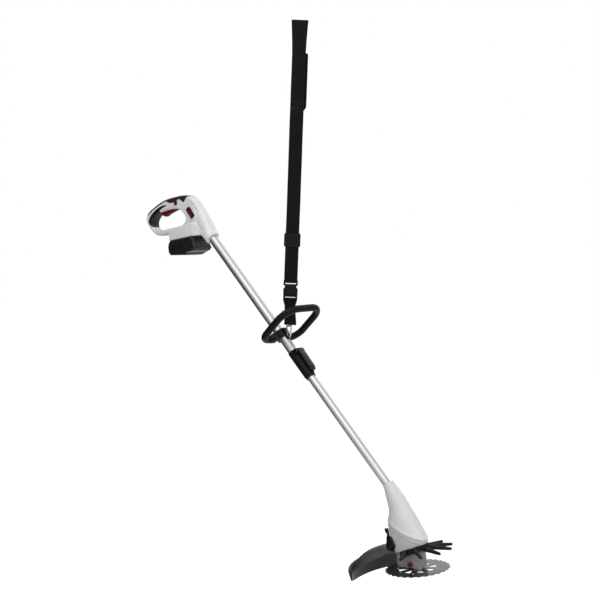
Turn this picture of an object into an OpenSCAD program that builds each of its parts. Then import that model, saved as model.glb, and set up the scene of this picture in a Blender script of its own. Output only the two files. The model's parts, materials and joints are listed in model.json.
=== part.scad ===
// Battery grass trimmer and brush cutter, hanging from its shoulder strap.
// Millimetres. The origin is the top of the strap, +Z runs up along it, +X is the
// cutting end and -Y is the user's right hand side.

/* [Shoulder strap] */
// Height of the strap's top above the shaft's centre line
strap_drop = 979; // [800:1:1200]
// Width of the strap's webbing
webbing_width = 41; // [34:0.5:46]
// Thickness of the strap's webbing
webbing_thickness = 2.2; // [1.6:0.1:3]
// Free space between the two runs of the loop
loop_gap = 6; // [5.5:0.5:9]
// Turn of the strap on its swivel, about the vertical
strap_turn = 42; // [0:1:80]
// Height of the buckle's upper bar above the shaft's centre line
buckle_height = 195; // [185:1:240]
// Height of the slider's middle above the shaft's centre line
slider_height = 324; // [290:1:600]
// Length of the shoulder pad
pad_length = 175; // [120:1:300]
// Thickness of the shoulder pad
pad_thickness = 6; // [4:0.5:10]

/* [Carrying hook] */
// Diameter of the hook's wire
hook_wire = 3.5; // [3:0.1:4.4]
// Distance between the hook's two legs, centre to centre
hook_width = 18; // [17.5:0.5:22]
// Diameter of the carrying eye's ring, centre to centre
eye_ring = 14; // [13:0.5:14.5]
// Height of the carrying eye's centre above the shaft's centre line, square to it
eye_rise = 24; // [23.5:0.1:26]

/* [Shaft] */
// Slope of the shaft below the horizontal as the machine hangs
shaft_slope = 41.2; // [36:0.1:46]
// Outer diameter of the upper tube
upper_diameter = 30; // [29.6:0.1:30.6]
// Wall of the upper tube
upper_wall = 1.5; // [1.2:0.1:1.6]
// Outer diameter of the lower tube
lower_diameter = 25; // [24.4:0.1:25.2]
// Wall of the lower tube
lower_wall = 1.3; // [1:0.1:2]
// From the strap to the handle's socket, along the shaft
handle_reach = 470; // [440:1:520]
// From the strap to the front end of the upper tube
upper_front = 62; // [55:1:80]
// From the strap back to the rear end of the lower tube
lower_rear = 170; // [150:1:250]
// From the strap to the mouth of the head's housing
head_reach = 530; // [500:1:600]

/* [Rear handle] */
// Angle between the shaft and the battery's slide
handle_angle = 52.4; // [51:0.2:54]
// Half width of the grip
grip_half = 18; // [17:0.5:20]
// Wall of the handle's shells
shell_wall = 2.6; // [2.2:0.1:3]
// Outer diameter of the shaft's socket in the handle
socket_diameter = 48; // [46:0.5:50]
// Half width of the battery dock
dock_half = 35; // [34:0.5:37]
// Half width of the battery pack
pack_half = 39; // [38:0.5:42]
// Travel of the trigger's tip
trigger_depth = 13; // [11:0.5:14]

/* [Front handle] */
// Width of the loop handle between its tube's centre lines
loop_width = 164; // [150:1:180]
// Height of the loop handle between its tube's centre lines
loop_height = 146; // [138:1:165]
// Corner radius of the loop handle's centre line
loop_corner = 50; // [42:1:52]
// Diameter of the loop handle with its grip
loop_diameter = 22; // [20:0.5:25]
// Lean of the loop towards the head, from square to the shaft (degrees)
loop_lean = 2.5; // [0:0.5:10]
// From the strap back to the loop handle's clamp, along the shaft
clamp_back = 40; // [39:0.5:44]
// Length of the clamp along the shaft
clamp_length = 26; // [24:0.5:28]

/* [Telescopic lock] */
// From the strap to the rear end of the lock
lock_start = 28; // [26:0.5:34]
// Length of the lock's sleeve
lock_length = 94; // [90:1:110]
// Outer diameter of the lock's sleeve
lock_diameter = 35; // [34:0.5:38]
// Half width of the lock's lever
lever_half = 12; // [9:0.5:13]

/* [Head] */
// Angle between the shaft and the blade's plane
head_angle = 52.4; // [50:0.2:55]
// From the mouth of the head's housing to the blade's centre, along the shaft
blade_reach = 227; // [222:1:235]
// From the shaft's centre line down to the blade's centre, square to it
blade_offset = 83; // [80:0.5:86]
// Wall of the head's covers
cover_wall = 2.5; // [2:0.1:3]
// Diameter of the motor
motor_diameter = 40; // [36:0.5:41]
// Diameter of the spindle
spindle_diameter = 10; // [8:0.5:12]

/* [Blade and guards] */
// Diameter of the blade
blade_diameter = 184; // [160:1:190]
// Thickness of the blade
blade_thickness = 1.6; // [1.2:0.1:2.4]
// Number of teeth
tooth_count = 28; // [20:4:40]
// Depth of a tooth
tooth_depth = 7; // [4:0.5:9]
// Radius of the debris guard's rim
guard_radius = 190; // [178:1:200]
// Height of the debris guard's crown above the blade
guard_crown = 60; // [52:1:66]
// Height of the debris guard's rim over the blade, below it when negative
guard_rim = -33; // [-40:1:-20]
// Thickness of the debris guard
guard_wall = 3; // [2:0.5:4]
// Radius of the plant guard's finger tips
finger_reach = 106; // [98:1:112]
// Diameter of a finger
finger_diameter = 10; // [8:0.5:11]

/* [Clearances] */
// Gap between parts that only lie beside each other
part_gap = 0.3; // [0.2:0.05:0.5]
// Radial clearance of a pin or tube that turns or slides in its bore
running_gap = 0.05; // [0.03:0.01:0.1]

/* [Hidden] */
$fn = 48;

// ---------------------------------------------------------------- frames
// Everything below is drawn in one of these frames.

// x along the webbing's width, y through its thickness, z up from the shaft
module at_strap() {
    translate([0, 0, -strap_drop]) rotate([0, 0, strap_turn]) children();
}

// x down the shaft to the head, y to the user's left, z square to the shaft
module at_shaft() {
    translate([0, 0, -strap_drop]) rotate([0, shaft_slope, 0]) children();
}

// origin on the shaft at the handle's socket, x forward along the battery's slide
module at_handle() {
    at_shaft() translate([-handle_reach, 0, 0]) rotate([0, -handle_angle, 0]) children();
}

// origin at the blade's centre, z up along the spindle, x forward
module at_blade() {
    at_shaft() translate([head_reach + blade_reach, 0, -blade_offset])
        rotate([0, -head_angle, 0]) children();
}

// ---------------------------------------------------------------- shared shapes

// A rod along x from a to b
module rod_x(a, b, d) {
    translate([a, 0, 0]) rotate([0, 90, 0]) cylinder(h = b - a, d = d);
}

// A rod along y from a to b
module rod_y(a, b, d) {
    translate([0, b, 0]) rotate([90, 0, 0]) cylinder(h = b - a, d = d);
}

// A rod along z from a to b
module rod_z(a, b, d) {
    translate([0, 0, a]) cylinder(h = b - a, d = d);
}

// A pipe along x
module pipe_x(a, b, d, bore) {
    difference() {
        rod_x(a, b, d);
        rod_x(a - 1, b + 1, bore);
    }
}

// A box given by its lowest and highest corners
module box(low, high) {
    translate(low) cube(high - low);
}

// A box that is symmetric in y
module wide_box(x0, x1, half, z0, z1) {
    box([x0, -half, z0], [x1, half, z1]);
}

// An outline in x and z, extruded from -half to half in y
module plate_y(half) {
    rotate([90, 0, 0]) linear_extrude(height = 2 * half, center = true) children();
}

// A closed solid through a list of rings that all have the same number of points
module skin(rings) {
    n = len(rings[0]);
    m = len(rings);
    points = [for (r = rings, p = r) p];
    sides = [for (j = [0 : m - 2], i = [0 : n - 1])
        [j * n + i, (j + 1) * n + i, (j + 1) * n + (i + 1) % n, j * n + (i + 1) % n]];
    first = [[for (i = [0 : n - 1]) i]];
    last = [[for (i = [n - 1 : -1 : 0]) (m - 1) * n + i]];
    polyhedron(points = points, faces = concat(first, sides, last), convexity = 6);
}

// One coordinate of a smooth curve through b and c, at t from 0 to 1
function blend4(a, b, c, d, t) =
    0.5 * (2 * b + (c - a) * t + (2 * a - 5 * b + 4 * c - d) * t * t
        + (3 * b - a - 3 * c + d) * t * t * t);

// A closed smooth curve through the given points, with some steps between two
function smooth_loop(p, steps) = let (n = len(p))
    [for (i = [0 : n - 1], k = [0 : steps - 1])
        blend4(p[(i + n - 1) % n], p[i], p[(i + 1) % n], p[(i + 2) % n], k / steps)];

// The outline moved inward by a distance, along each corner's normal.
// The outline runs anticlockwise.
function inset(p, by) = let (n = len(p))
    [for (i = [0 : n - 1]) let (
        d = p[(i + 1) % n] - p[(i + n - 1) % n],
        u = d / norm(d))
        p[i] + by * [-u[1], u[0]]];

// A cushion-edged slab: an outline in x and z, half thick in y, edges rounded by edge
module pillow(outline, half, edge, steps = 4) {
    levels = concat(
        [for (k = [0 : steps]) [-half + edge * (1 - cos(90 * k / steps)),
            edge * (1 - sin(90 * k / steps))]],
        [for (k = [steps : -1 : 0]) [half - edge * (1 - cos(90 * k / steps)),
            edge * (1 - sin(90 * k / steps))]]);
    skin([for (l = levels) [for (q = inset(outline, l[1])) [q[0], -l[0], q[1]]]]);
}

// An ellipse at height z, centred at x = c
function ellipse(c, a, b, z, n = 32) =
    [for (i = [0 : n - 1]) [c + a * cos(360 * i / n), b * sin(360 * i / n), z]];

// Keeps only what lies on one side of the centre plane: side is -1 or 1
module half_y(side, reach = 400) {
    intersection() {
        children();
        translate([-reach, side > 0 ? 0 : -reach, -reach])
            cube([2 * reach, reach, 2 * reach]);
    }
}

// A plug whose ends flare, which rounds the rim of the opening that it cuts
module flared_plug(outline, half, edge, steps = 4) {
    levels = concat(
        [[-half - 1, edge]],
        [for (k = [steps : -1 : 0]) [-half + edge * (1 - sin(90 * k / steps)),
            edge * (1 - cos(90 * k / steps))]],
        [for (k = [0 : steps]) [half - edge * (1 - sin(90 * k / steps)),
            edge * (1 - cos(90 * k / steps))]],
        [[half + 1, edge]]);
    skin([for (l = levels) [for (q = inset(outline, -l[1])) [q[0], -l[0], q[1]]]]);
}

// ---------------------------------------------------------------- shoulder strap
loop_outer = loop_gap / 2 + webbing_thickness;
loop_top = strap_drop - loop_outer;
rail_inner = webbing_width / 2 + part_gap;
rail_outer = rail_inner + 2.7;
socket_top = buckle_height - 9;
socket_mouth = buckle_height - 40;
plug_top = socket_mouth - part_gap;
plug_bar = plug_top - 10.7;
tail_end = 63;
hem_height = 14;
hem_half = 5.4;

// The outline of a flat loop standing on end, in y and z
module loop_outline(radius, low, high) {
    translate([0, low]) circle(r = radius);
    translate([0, high]) circle(r = radius);
    translate([-radius, low]) square([2 * radius, high - low]);
}

// The closed loop of webbing, in four stretches that meet end to end
module strap_stretch(low, high) {
    at_strap() intersection() {
        rotate([90, 0, 90]) linear_extrude(height = webbing_width, center = true)
            difference() {
                loop_outline(loop_outer, buckle_height, loop_top);
                loop_outline(loop_gap / 2, buckle_height, loop_top);
            }
        box(low, high);
    }
}
module strap_right() color("#17171b")
    strap_stretch([-50, -50, buckle_height], [50, 0, loop_top]);
module strap_left() color("#17171b")
    strap_stretch([-50, 0, buckle_height], [50, 50, loop_top]);
module strap_top() color("#17171b")
    strap_stretch([-50, -50, loop_top], [50, 50, strap_drop + 1]);
module strap_foot() color("#17171b")
    strap_stretch([-50, -50, buckle_height - 20], [50, 50, buckle_height]);

pad_drop = 95;
pad_half = 24;
pad_shift = 4;
module shoulder_pad() color("#131316") at_strap()
    translate([pad_shift, loop_outer + part_gap + pad_thickness, strap_drop - pad_drop])
        rotate([90, 0, 0]) linear_extrude(height = pad_thickness)
            difference() {
                translate([-pad_half, -pad_length]) square([2 * pad_half, pad_length]);
                for (side = [-1, 1]) translate([side * pad_half, -pad_length])
                    rotate(45) square(18, center = true);
            }

buckle_half = 6.5;
module buckle_socket() color("#1b1b1f") at_strap() {
    translate([0, 0, buckle_height])
        rod_x(-rail_outer, rail_outer, loop_gap - 2 * part_gap);
    for (side = [-1, 1]) translate([side * (rail_inner + rail_outer) / 2, 0, 0])
        box([-1.35, -5, socket_top - 1], [1.35, 5, buckle_height + 4]);
    difference() {
        plate_y(buckle_half) polygon([
            [-rail_outer, socket_top], [-rail_outer + 1, socket_mouth + 12],
            [-rail_outer + 2, socket_mouth], [rail_outer - 2, socket_mouth],
            [rail_outer - 1, socket_mouth + 12], [rail_outer, socket_top]]);
        wide_box(-rail_outer + 5, rail_outer - 5, buckle_half - 2.4,
            socket_mouth - 1, socket_top - 3);
        wide_box(-rail_outer - 1, rail_outer + 1, buckle_half - 2.4,
            socket_mouth + 9, socket_mouth + 25);
    }
}

slider_half = 21;
module strap_slider() color("#1b1b1f") at_strap() {
    frame_half = loop_outer + part_gap;
    difference() {
        plate_y(frame_half + 2.4) polygon([
            [-rail_outer - 1.5, slider_height - slider_half + 5],
            [-rail_outer + 1, slider_height - slider_half],
            [rail_outer - 1, slider_height - slider_half],
            [rail_outer + 1.5, slider_height - slider_half + 5],
            [rail_outer + 1.5, slider_height + slider_half - 5],
            [rail_outer - 1, slider_height + slider_half],
            [-rail_outer + 1, slider_height + slider_half],
            [-rail_outer - 1.5, slider_height + slider_half - 5]]);
        wide_box(-rail_inner, rail_inner, frame_half,
            slider_height - slider_half - 1, slider_height + slider_half + 1);
        translate([0, 0, slider_height])
            rod_x(-rail_inner - 1.2, rail_inner + 1.2, slider_bar_size + 2 * running_gap);
    }
}

slider_bar_size = loop_gap - 2 * part_gap;
module slider_bar() color("#b9bcc2") at_strap() translate([0, 0, slider_height])
    rod_x(-rail_inner - 1, rail_inner + 1, slider_bar_size);

module buckle_plug() color("#1b1b1f") at_strap() {
    wide_box(-rail_outer + 2, rail_outer - 2, buckle_half - 1, plug_top - 2.4, plug_top);
    for (flip = [0, 1]) mirror([flip, 0, 0]) {
        plate_y(3.5) polygon([
            [tail_half + 0.5, plug_top - 2.2], [tail_half + 0.5, plug_bar - 6],
            [tail_half - 0.1, plug_bar - 16], [tail_half + 1.8, plug_bar - 16],
            [rail_outer - 2.6, plug_bar - 6], [rail_outer - 2, plug_top - 2.2]]);
        translate([15, 0, 0]) box([-2.6, -3.4, plug_top - 0.5], [2.6, 3.4, socket_top - 4.5]);
    }
    wide_box(-3, 3, 3, plug_top - 0.5, socket_top - 4);
    translate([0, 0, plug_bar]) rod_x(-tail_half - 1, tail_half + 1, 5);
}

tail_half = 16.8;
tail_foot = 18.2;
tail_thick = 2.6;
ring_radius = 4.6;
ring_wire = 1.8;
ring_height = 102;
module at_side_ring() {
    translate([-tail_half - ring_radius + 1.4, 0, ring_height]) rotate([90, 0, 0]) children();
}
module torus(radius, wire) {
    rotate_extrude() translate([radius, 0]) circle(d = wire);
}

stem_diameter = 4.4;
stem_head = 7.4;
stem_top = tail_end + 9;
module strap_tail() color("#19191c") at_strap() difference() {
    union() {
        intersection() {
            union() {
                rotate([90, 0, 90]) linear_extrude(height = 60, center = true) {
                    translate([0, plug_bar]) circle(r = 2.5 + part_gap / 2 + webbing_thickness);
                    translate([-tail_thick, tail_end]) square([2 * tail_thick, plug_bar - tail_end]);
                }
            }
            plate_y(12) polygon([
                [-tail_foot, tail_end], [tail_foot, tail_end],
                [tail_half - 1.4, tail_end + 50], [tail_half, plug_bar - 10],
                [tail_half, plug_bar + 8], [-tail_half, plug_bar + 8],
                [-tail_half, plug_bar - 10], [1.4 - tail_half, tail_end + 50]]);
        }
        wide_box(-tail_foot, tail_foot, hem_half, tail_end, tail_end + hem_height);
    }
    translate([0, 0, plug_bar]) rod_x(-30, 30, 5 + part_gap);
    at_side_ring() torus(ring_radius, ring_wire + 2 * running_gap);
    rod_z(tail_end - 1, stem_top, stem_diameter + 2 * part_gap);
    rod_z(stem_top - 4.3, stem_top + part_gap, stem_head + 2 * part_gap);
}

module pull_ring() color("#c9ccd0") at_strap() at_side_ring() torus(ring_radius, ring_wire);

// ---------------------------------------------------------------- carrying hook and eye
eye_wire = 3.6;
// The eye stands right below the strap when the machine hangs
eye_back = eye_rise * tan(shaft_slope);
eye_height = eye_rise / cos(shaft_slope);
eye_lift = eye_ring / 2 - eye_wire / 2 - hook_wire / 2 - 0.15;
hook_low = eye_height + eye_lift;
hook_half = hook_width / 2;
leg_foot = hook_low + hook_half;
yoke_height = tail_end - 3.6;
nose_top = leg_foot + 1.5;

// The wire hook stands in the plane of y and z
module at_hook() {
    translate([0, 0, -strap_drop]) children();
}

module snap_hook() color("#b9bcc2") at_hook() {
    difference() {
        translate([0, 0, leg_foot]) rotate([0, 90, 0]) rotate([0, 0, 90]) torus(hook_half, hook_wire);
        translate([-10, -40, leg_foot]) cube([20, 80, 40]);
    }
    translate([0, hook_half, 0]) rod_z(leg_foot, yoke_height, hook_wire);
    translate([0, -hook_half, 0]) rod_z(leg_foot, nose_top, hook_wire);
    translate([0, 0, yoke_height]) {
        rod_y(-hook_half + 3.2, hook_half, 4.4);
        translate([0, hook_half, 0]) sphere(d = 4.4);
        for (side = [-1, 1]) translate([side * 2.9, 0, 0])
            hull() {
                translate([0, -hook_half, 0]) rod_x(-0.6, 0.6, 4.4);
                translate([0, -hook_half + 4, 0]) rod_x(-0.6, 0.6, 4.4);
            }
        translate([0, -hook_half + 4.6, 0]) cube([7, 2.8, 4.4], center = true);
        translate([0, -hook_half, 0]) rod_x(-3.5, 3.5, 1.6);
    }
    rod_z(yoke_height, stem_top, stem_diameter);
    rod_z(stem_top - 4, stem_top, stem_head);
}

module hook_gate() color("#a7abb2") at_hook() translate([0, -hook_half, 0]) difference() {
    union() {
        rod_z(nose_top + part_gap, yoke_height, 3);
        translate([0, 0, yoke_height]) rod_x(-2, 2, 4.2);
    }
    translate([0, 0, yoke_height]) rod_x(-5, 5, 1.6 + 2 * running_gap);
}

module strap_eye() color("#c2a25a") at_shaft()
    translate([-eye_back, 0, eye_rise]) rotate([90, 0, 0]) torus(eye_ring / 2, eye_wire);

// ---------------------------------------------------------------- shaft
handle_grasp = 90;
upper_rear = handle_reach + handle_grasp;
head_grasp = 52;
bush_length = 30;
socket_bore = upper_diameter;

module upper_tube() color("#d3d5d8") at_shaft()
    pipe_x(-upper_rear, upper_front, upper_diameter, upper_diameter - 2 * upper_wall);

module lower_tube() color("#d3d5d8") at_shaft()
    pipe_x(-lower_rear, head_reach + head_grasp, lower_diameter, lower_diameter - 2 * lower_wall);

module tube_bush() color("#e8e8e4") at_shaft()
    pipe_x(-lower_rear, -lower_rear + bush_length,
        upper_diameter - 2 * upper_wall - 2 * running_gap, lower_diameter);

// ---------------------------------------------------------------- loop handle and its clamp
clamp_wall = 6;
ear_inner = 24.3;
ear_outer = ear_inner + 13.7;
trunnion = 18;
pivot_drop = 15;
clamp_half = clamp_length / 2;
screw_side = upper_diameter / 2 + 3.6;
screw_size = 4;

module at_clamp() {
    at_shaft() translate([-clamp_back, 0, 0]) children();
}
// The holes of the clamp's four screws, square to the shaft
module at_clamp_screws() {
    for (dx = [-7, 7], side = [-1, 1]) translate([dx, side * screw_side, 0]) children();
}

module clamp_bracket() color("#1d1d20") difference() {
    union() {
        at_clamp() {
            difference() {
                union() {
                    rod_x(-clamp_half, clamp_half, upper_diameter + 2 * clamp_wall);
                    for (flip = [0, 1]) mirror([0, flip, 0]) hull() {
                        translate([0, 22, 0]) rod_x(-clamp_half, clamp_half, 14);
                        translate([0, 0, -pivot_drop])
                            rod_y(ear_inner, ear_outer, clamp_length - 2);
                    }
                }
                box([-50, -ear_inner, -60], [50, ear_inner, -0.6]);
                for (side = [-1, 1])
                    box([-50, side > 0 ? ear_outer : -ear_outer - 40, -60],
                        [50, side > 0 ? ear_outer + 40 : -ear_outer, 60]);
            }
            wide_box(-clamp_half + 4, clamp_half + 14, 7, upper_diameter / 2 - 1, 20);
            wide_box(-clamp_half + 4, clamp_back - eye_back - 11, 7, upper_diameter / 2 - 1, 27);
        }
    }
    at_shaft() rod_x(-upper_rear, 0, socket_bore);
    at_clamp() translate([0, 0, -pivot_drop]) rod_y(-60, 60, trunnion + 2 * running_gap);
    at_clamp() at_clamp_screws() rod_z(-20, 8, screw_size);
    at_shaft() translate([-eye_back, 0, eye_rise]) rotate([90, 0, 0])
        torus(eye_ring / 2, eye_wire + 2 * running_gap);
}

module clamp_cap() color("#1d1d20") at_clamp() difference() {
    union() {
        intersection() {
            rod_x(-clamp_half, clamp_half, upper_diameter + 2 * clamp_wall);
            box([-50, -40, -60], [50, 40, -1]);
        }
        at_clamp_screws() rod_z(-12, -1, screw_size + 6);
    }
    rod_x(-50, 50, socket_bore);
    at_clamp_screws() rod_z(-20, 8, screw_size);
    at_clamp_screws() rod_z(-30, -12, 7 + 2 * part_gap);
}

module clamp_screws() color("#6e7074") at_clamp() at_clamp_screws() {
    rod_z(-12, 7, screw_size);
    difference() {
        rod_z(-15.5, -12, 7);
        translate([0, 0, -16]) cylinder(h = 2, d = 4, $fn = 6);
    }
}

// Half of the loop handle's centre line lies in y and z, z from the hinge: a small round
// foot, a straight side and a large round shoulder
foot_corner = 36;
module quarter_ring(radius, d, start) {
    rotate([90, 0, 90]) rotate([0, 0, start]) rotate_extrude(angle = 90)
        translate([radius, 0]) circle(d = d);
}
module loop_half(d) {
    translate([0, loop_width / 2 - foot_corner, foot_corner]) quarter_ring(foot_corner, d, -90);
    translate([0, loop_width / 2, 0]) rod_z(foot_corner, loop_height - loop_corner, d);
    translate([0, loop_width / 2 - loop_corner, loop_height - loop_corner])
        quarter_ring(loop_corner, d, 0);
    translate([0, 0, loop_height]) rod_y(-0.01, loop_width / 2 - loop_corner, d);
    rod_y(ear_outer + part_gap, loop_width / 2 - foot_corner, d);
}
module at_loop() {
    at_clamp() translate([0, 0, -pivot_drop]) rotate([0, loop_lean, 0]) children();
}
core_diameter = 15;
grip_start = 20;
module loop_handle() color("#141417") at_loop() {
    for (flip = [0, 1]) mirror([0, flip, 0]) {
        loop_half(core_diameter);
        rod_y(ear_inner + 0.5, ear_outer + part_gap, trunnion);
        rod_y(ear_outer + part_gap, ear_outer + 4, loop_diameter);
    }
}
module loop_grip() color("#222226") at_loop() difference() {
    for (flip = [0, 1]) mirror([0, flip, 0]) loop_half(loop_diameter);
    for (flip = [0, 1]) mirror([0, flip, 0]) {
        loop_half(core_diameter);
        rod_y(0, ear_outer + 4, 40);
    }
}

// ---------------------------------------------------------------- telescopic lock
lock_end = lock_start + lock_length;
lever_hinge = lock_start + 14;
lever_base = lock_diameter / 2 + 5.2;
lever_thick = 6.5;
hinge_rise = lever_base + 2;
lever_end = lock_end - 6;
ear_thick = 3;

module lock_sleeve() color("#1b1b1e") at_shaft() difference() {
    union() {
        rod_x(lock_start, lock_end, lock_diameter);
        wide_box(lock_start + 4, lever_end + 2, lever_half - 1, 0, lever_base - part_gap);
        for (side = [-1, 1]) hull() {
            translate([lever_hinge, side * (lever_half + part_gap + ear_thick / 2), hinge_rise])
                rod_y(-ear_thick / 2, ear_thick / 2, 10);
            translate([lever_hinge, side * (lever_half + part_gap + ear_thick / 2), 6])
                rod_y(-ear_thick / 2, ear_thick / 2, 20);
        }
    }
    translate([lever_hinge, 0, hinge_rise])
        rod_y(-lever_half - part_gap, lever_half + part_gap, 12 + 2 * part_gap);
    translate([lever_hinge, 0, hinge_rise]) rod_y(-30, 30, 4);
    rod_x(lock_start - 1, upper_front, upper_diameter);
    rod_x(upper_front - 1, lock_end + 1, lower_diameter + 2 * part_gap);
}

module lock_collar() color("#161619") at_shaft() difference() {
    pipe_x(lock_end, lock_end + 9, lock_diameter - 4, lower_diameter + 2 * part_gap);
    for (a = [0 : 45 : 315]) rotate([a, 0, 0])
        translate([lock_end + 3, 0, lock_diameter / 2 - 2]) rod_x(0, 10, 2.4);
}

module lock_pin() color("#8d9096") at_shaft()
    translate([lever_hinge, 0, hinge_rise])
        rod_y(-lever_half - part_gap - ear_thick, lever_half + part_gap + ear_thick, 4);

module lock_lever() color("#242428") at_shaft() difference() {
    union() {
        translate([lever_hinge, 0, hinge_rise]) rod_y(-lever_half, lever_half, 12);
        plate_y(lever_half) polygon([
            [lever_hinge, lever_base], [lever_end, lever_base],
            [lever_end + 4, lever_base + 2], [lever_end, lever_base + lever_thick],
            [lever_hinge + 20, lever_base + lever_thick + 2], [lever_hinge, hinge_rise + 5.5]]);
    }
    translate([lever_hinge, 0, hinge_rise]) rod_y(-30, 30, 4 + 2 * running_gap);
    wide_box(lever_hinge + 10, lever_end - 8, lever_half - 3, lever_base - 1, lever_base + 3);
}

// ---------------------------------------------------------------- rear handle
// The outlines run anticlockwise in the handle's x and z
handle_points = [
    [-44, 50], [-24, 72], [-33, 104], [-64, 147], [-106, 162], [-160, 165], [-214, 162],
    [-272, 146], [-305, 129], [-314, 104], [-292, 69], [-266, 49], [-228, 44], [-150, 44],
    [-90, 44]];
opening_points = [
    [-250, 64], [-180, 63], [-128, 65], [-107, 84], [-128, 114], [-170, 126], [-238, 122],
    [-268, 90]];
dock_floor = 18;
// The dock's sections from rear to front: x, top and share of its half width
dock_sections = [[-183, 51, 0.9], [-178, 54, 1], [-92, 62, 1], [-62, 64, 0.9], [-32, 56, 0.6]];
edge_round = 11;
rim_round = 7;
screw_head = 6.4;
screw_shank = 3;
// Where the two halves are screwed together: x, z and half the thickness there
handle_screw_places = [[-92, 143, 17.8], [-299, 110, 17.8], [-240, 54, 17]];

// The column that swallows the tube: distance up the shaft, low edge, high edge, half width
column_rings = [
    [0, -1, 1, 1], [16, -1, 1, 1], [35, -1.02, 1.19, 1], [65, -1.2, 1.46, 0.98],
    [98, -1.37, 1.62, 0.92], [128, -1.25, 1.66, 0.76], [148, -1, 1.42, 0.5]];
function rounded(a, power) = sign(a) * pow(abs(a), power);
function column_ring(c, less) = let (
    r = socket_diameter / 2,
    low = c[1] * r + less,
    high = c[2] * r - less,
    power = c[0] < 20 ? 1 : 0.8)
    [for (i = [0 : 23]) let (a = 360 * i / 24) [
        -handle_reach - c[0],
        (c[3] * r - less) * rounded(sin(a), power),
        (low + high) / 2 + (high - low) / 2 * rounded(cos(a), power)]];

module handle_column(less, start) {
    at_shaft() skin([for (k = [start : len(column_rings) - 1])
        column_ring(column_rings[k], less)]);
}

function dock_ring(c) = let (w = dock_half * c[2], e = 4)
    [[c[0], w, dock_floor], [c[0], w, c[1] - e], [c[0], w - e, c[1]], [c[0], e - w, c[1]],
        [c[0], -w, c[1] - e], [c[0], -w, dock_floor]];

module handle_solid() {
    at_handle() pillow(smooth_loop(handle_points, 2), grip_half, edge_round, 3);
    at_handle() skin([for (c = dock_sections) dock_ring(c)]);
    handle_column(0, 0);
}

module handle_opening(less = 0) {
    at_handle() flared_plug(inset(smooth_loop(opening_points, 2), less), grip_half, rim_round, 3);
}

module handle_void() {
    difference() {
        union() {
            at_handle() pillow(inset(smooth_loop(handle_points, 2), shell_wall),
                grip_half - shell_wall, edge_round - shell_wall, 2);
            handle_column(shell_wall, 4);
            at_handle() wide_box(-172, -58, dock_half - shell_wall, dock_floor + 11, 49);
        }
        at_handle() flared_plug(inset(smooth_loop(opening_points, 2), -shell_wall),
            grip_half - shell_wall, rim_round, 2);
        at_shaft() box([-handle_reach - handle_grasp - 3, -100, -100],
            [-handle_reach + 10, 100, 100]);
        at_handle() for (p = handle_screw_places) translate([p[0], 0, p[1]]) rod_y(-30, 30, 9);
        at_trigger_hinge() for (side = [-1, 1]) mirror([0, side > 0 ? 0 : 1, 0])
            rod_y(trigger_half + part_gap, 30, 9);
    }
}

// The rubber of the top grip ends in a zigzag
top_grip_cut = [
    [-60, 160], [-74, 156], [-88, 152], [-103, 143], [-122, 148], [-141, 152], [-158, 147],
    [-176, 150], [-189, 157], [-230, 150], [-262, 136], [-286, 135], [-330, 190], [-60, 190]];
rear_grip_cut = [
    [-196, 146], [-240, 132], [-288, 112], [-276, 82], [-235, 72], [-240, 90], [-215, 118],
    [-196, 130]];
module grip_region(outline, grow) {
    at_handle() plate_y(60) offset(delta = grow) polygon(outline);
}

module handle_part(side) {
    difference() {
        intersection() {
            handle_solid();
            at_handle() box([-400, side > 0 ? 0.05 : -100, -100], [100, side > 0 ? 100 : -0.05, 300]);
        }
        handle_void();
        handle_opening();
        at_shaft() rod_x(-upper_rear - part_gap, -handle_reach + 1, socket_bore);
        grip_region(top_grip_cut, 0.1);
        grip_region(rear_grip_cut, 0.1);
        at_handle() {
            wide_box(-200, -62, 30, dock_floor + 3, dock_floor + 8);
            wide_box(-200, -62, 22.5, dock_floor - 9, dock_floor + 4);
            wide_box(-84 - part_gap, -64 + part_gap, 14 + part_gap,
                dock_floor + 11, dock_floor + 20 + part_gap);
            for (y = [-9, 0, 9]) translate([0, y, 0])
                wide_box(-80, -66, 1.2, dock_floor + 7, dock_floor + 12);
            plate_y(trigger_half + part_gap) polygon([
                [-240, 90], [-147, 90], [-147, 128], [-166, 148], [-240, 152]]);
            for (p = handle_screw_places) translate([p[0], 0, p[1]]) {
                rod_y(-p[2] - 9, -p[2] + 4, screw_head + part_gap);
                rod_y(-p[2], 8, screw_shank);
            }
        }
        at_lock_off() lock_off_bar(60, part_gap);
        if (side < 0) at_side_button() side_button_plate(-60, -10, part_gap);
        if (side < 0) at_trigger_hinge() rod_y(-14, 0, trigger_pin);
    }
}

module handle_shell_right() color("#d9dadc") handle_part(-1);

module handle_shell_left() color("#d9dadc") {
    handle_part(1);
    at_trigger_hinge() rod_y(-13, trigger_half + part_gap + 0.5, trigger_pin);
}

module grip_part(outline) {
    difference() {
        intersection() {
            handle_solid();
            grip_region(outline, -0.1);
        }
        handle_void();
        handle_opening();
        at_lock_off() lock_off_bar(60, part_gap);
        at_handle() {
            plate_y(trigger_half + part_gap) polygon([
                [-240, 90], [-147, 90], [-147, 128], [-166, 148], [-240, 152]]);
            for (p = handle_screw_places) translate([p[0], 0, p[1]]) {
                rod_y(-p[2] - 9, -p[2] + 4, screw_head + part_gap);
                rod_y(-p[2], 8, screw_shank);
            }
        }
    }
}
module top_grip() color("#131315") grip_part(top_grip_cut);
module rear_grip() color("#131315") grip_part(rear_grip_cut);

module terminal_block() color("#2b2b2f") at_handle() {
    wide_box(-84, -64, 14, dock_floor + 11.3, dock_floor + 20);
    for (y = [-9, 0, 9]) translate([0, y, 0])
        wide_box(-78, -68, 0.8, dock_floor + 4.6, dock_floor + 12);
}

module trigger_switch() color("#3a3a3e") at_handle() difference() {
    wide_box(-212, -176, 7.5, 151, 159);
    wide_box(-213, -209, 8, 150, 153);
}

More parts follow.
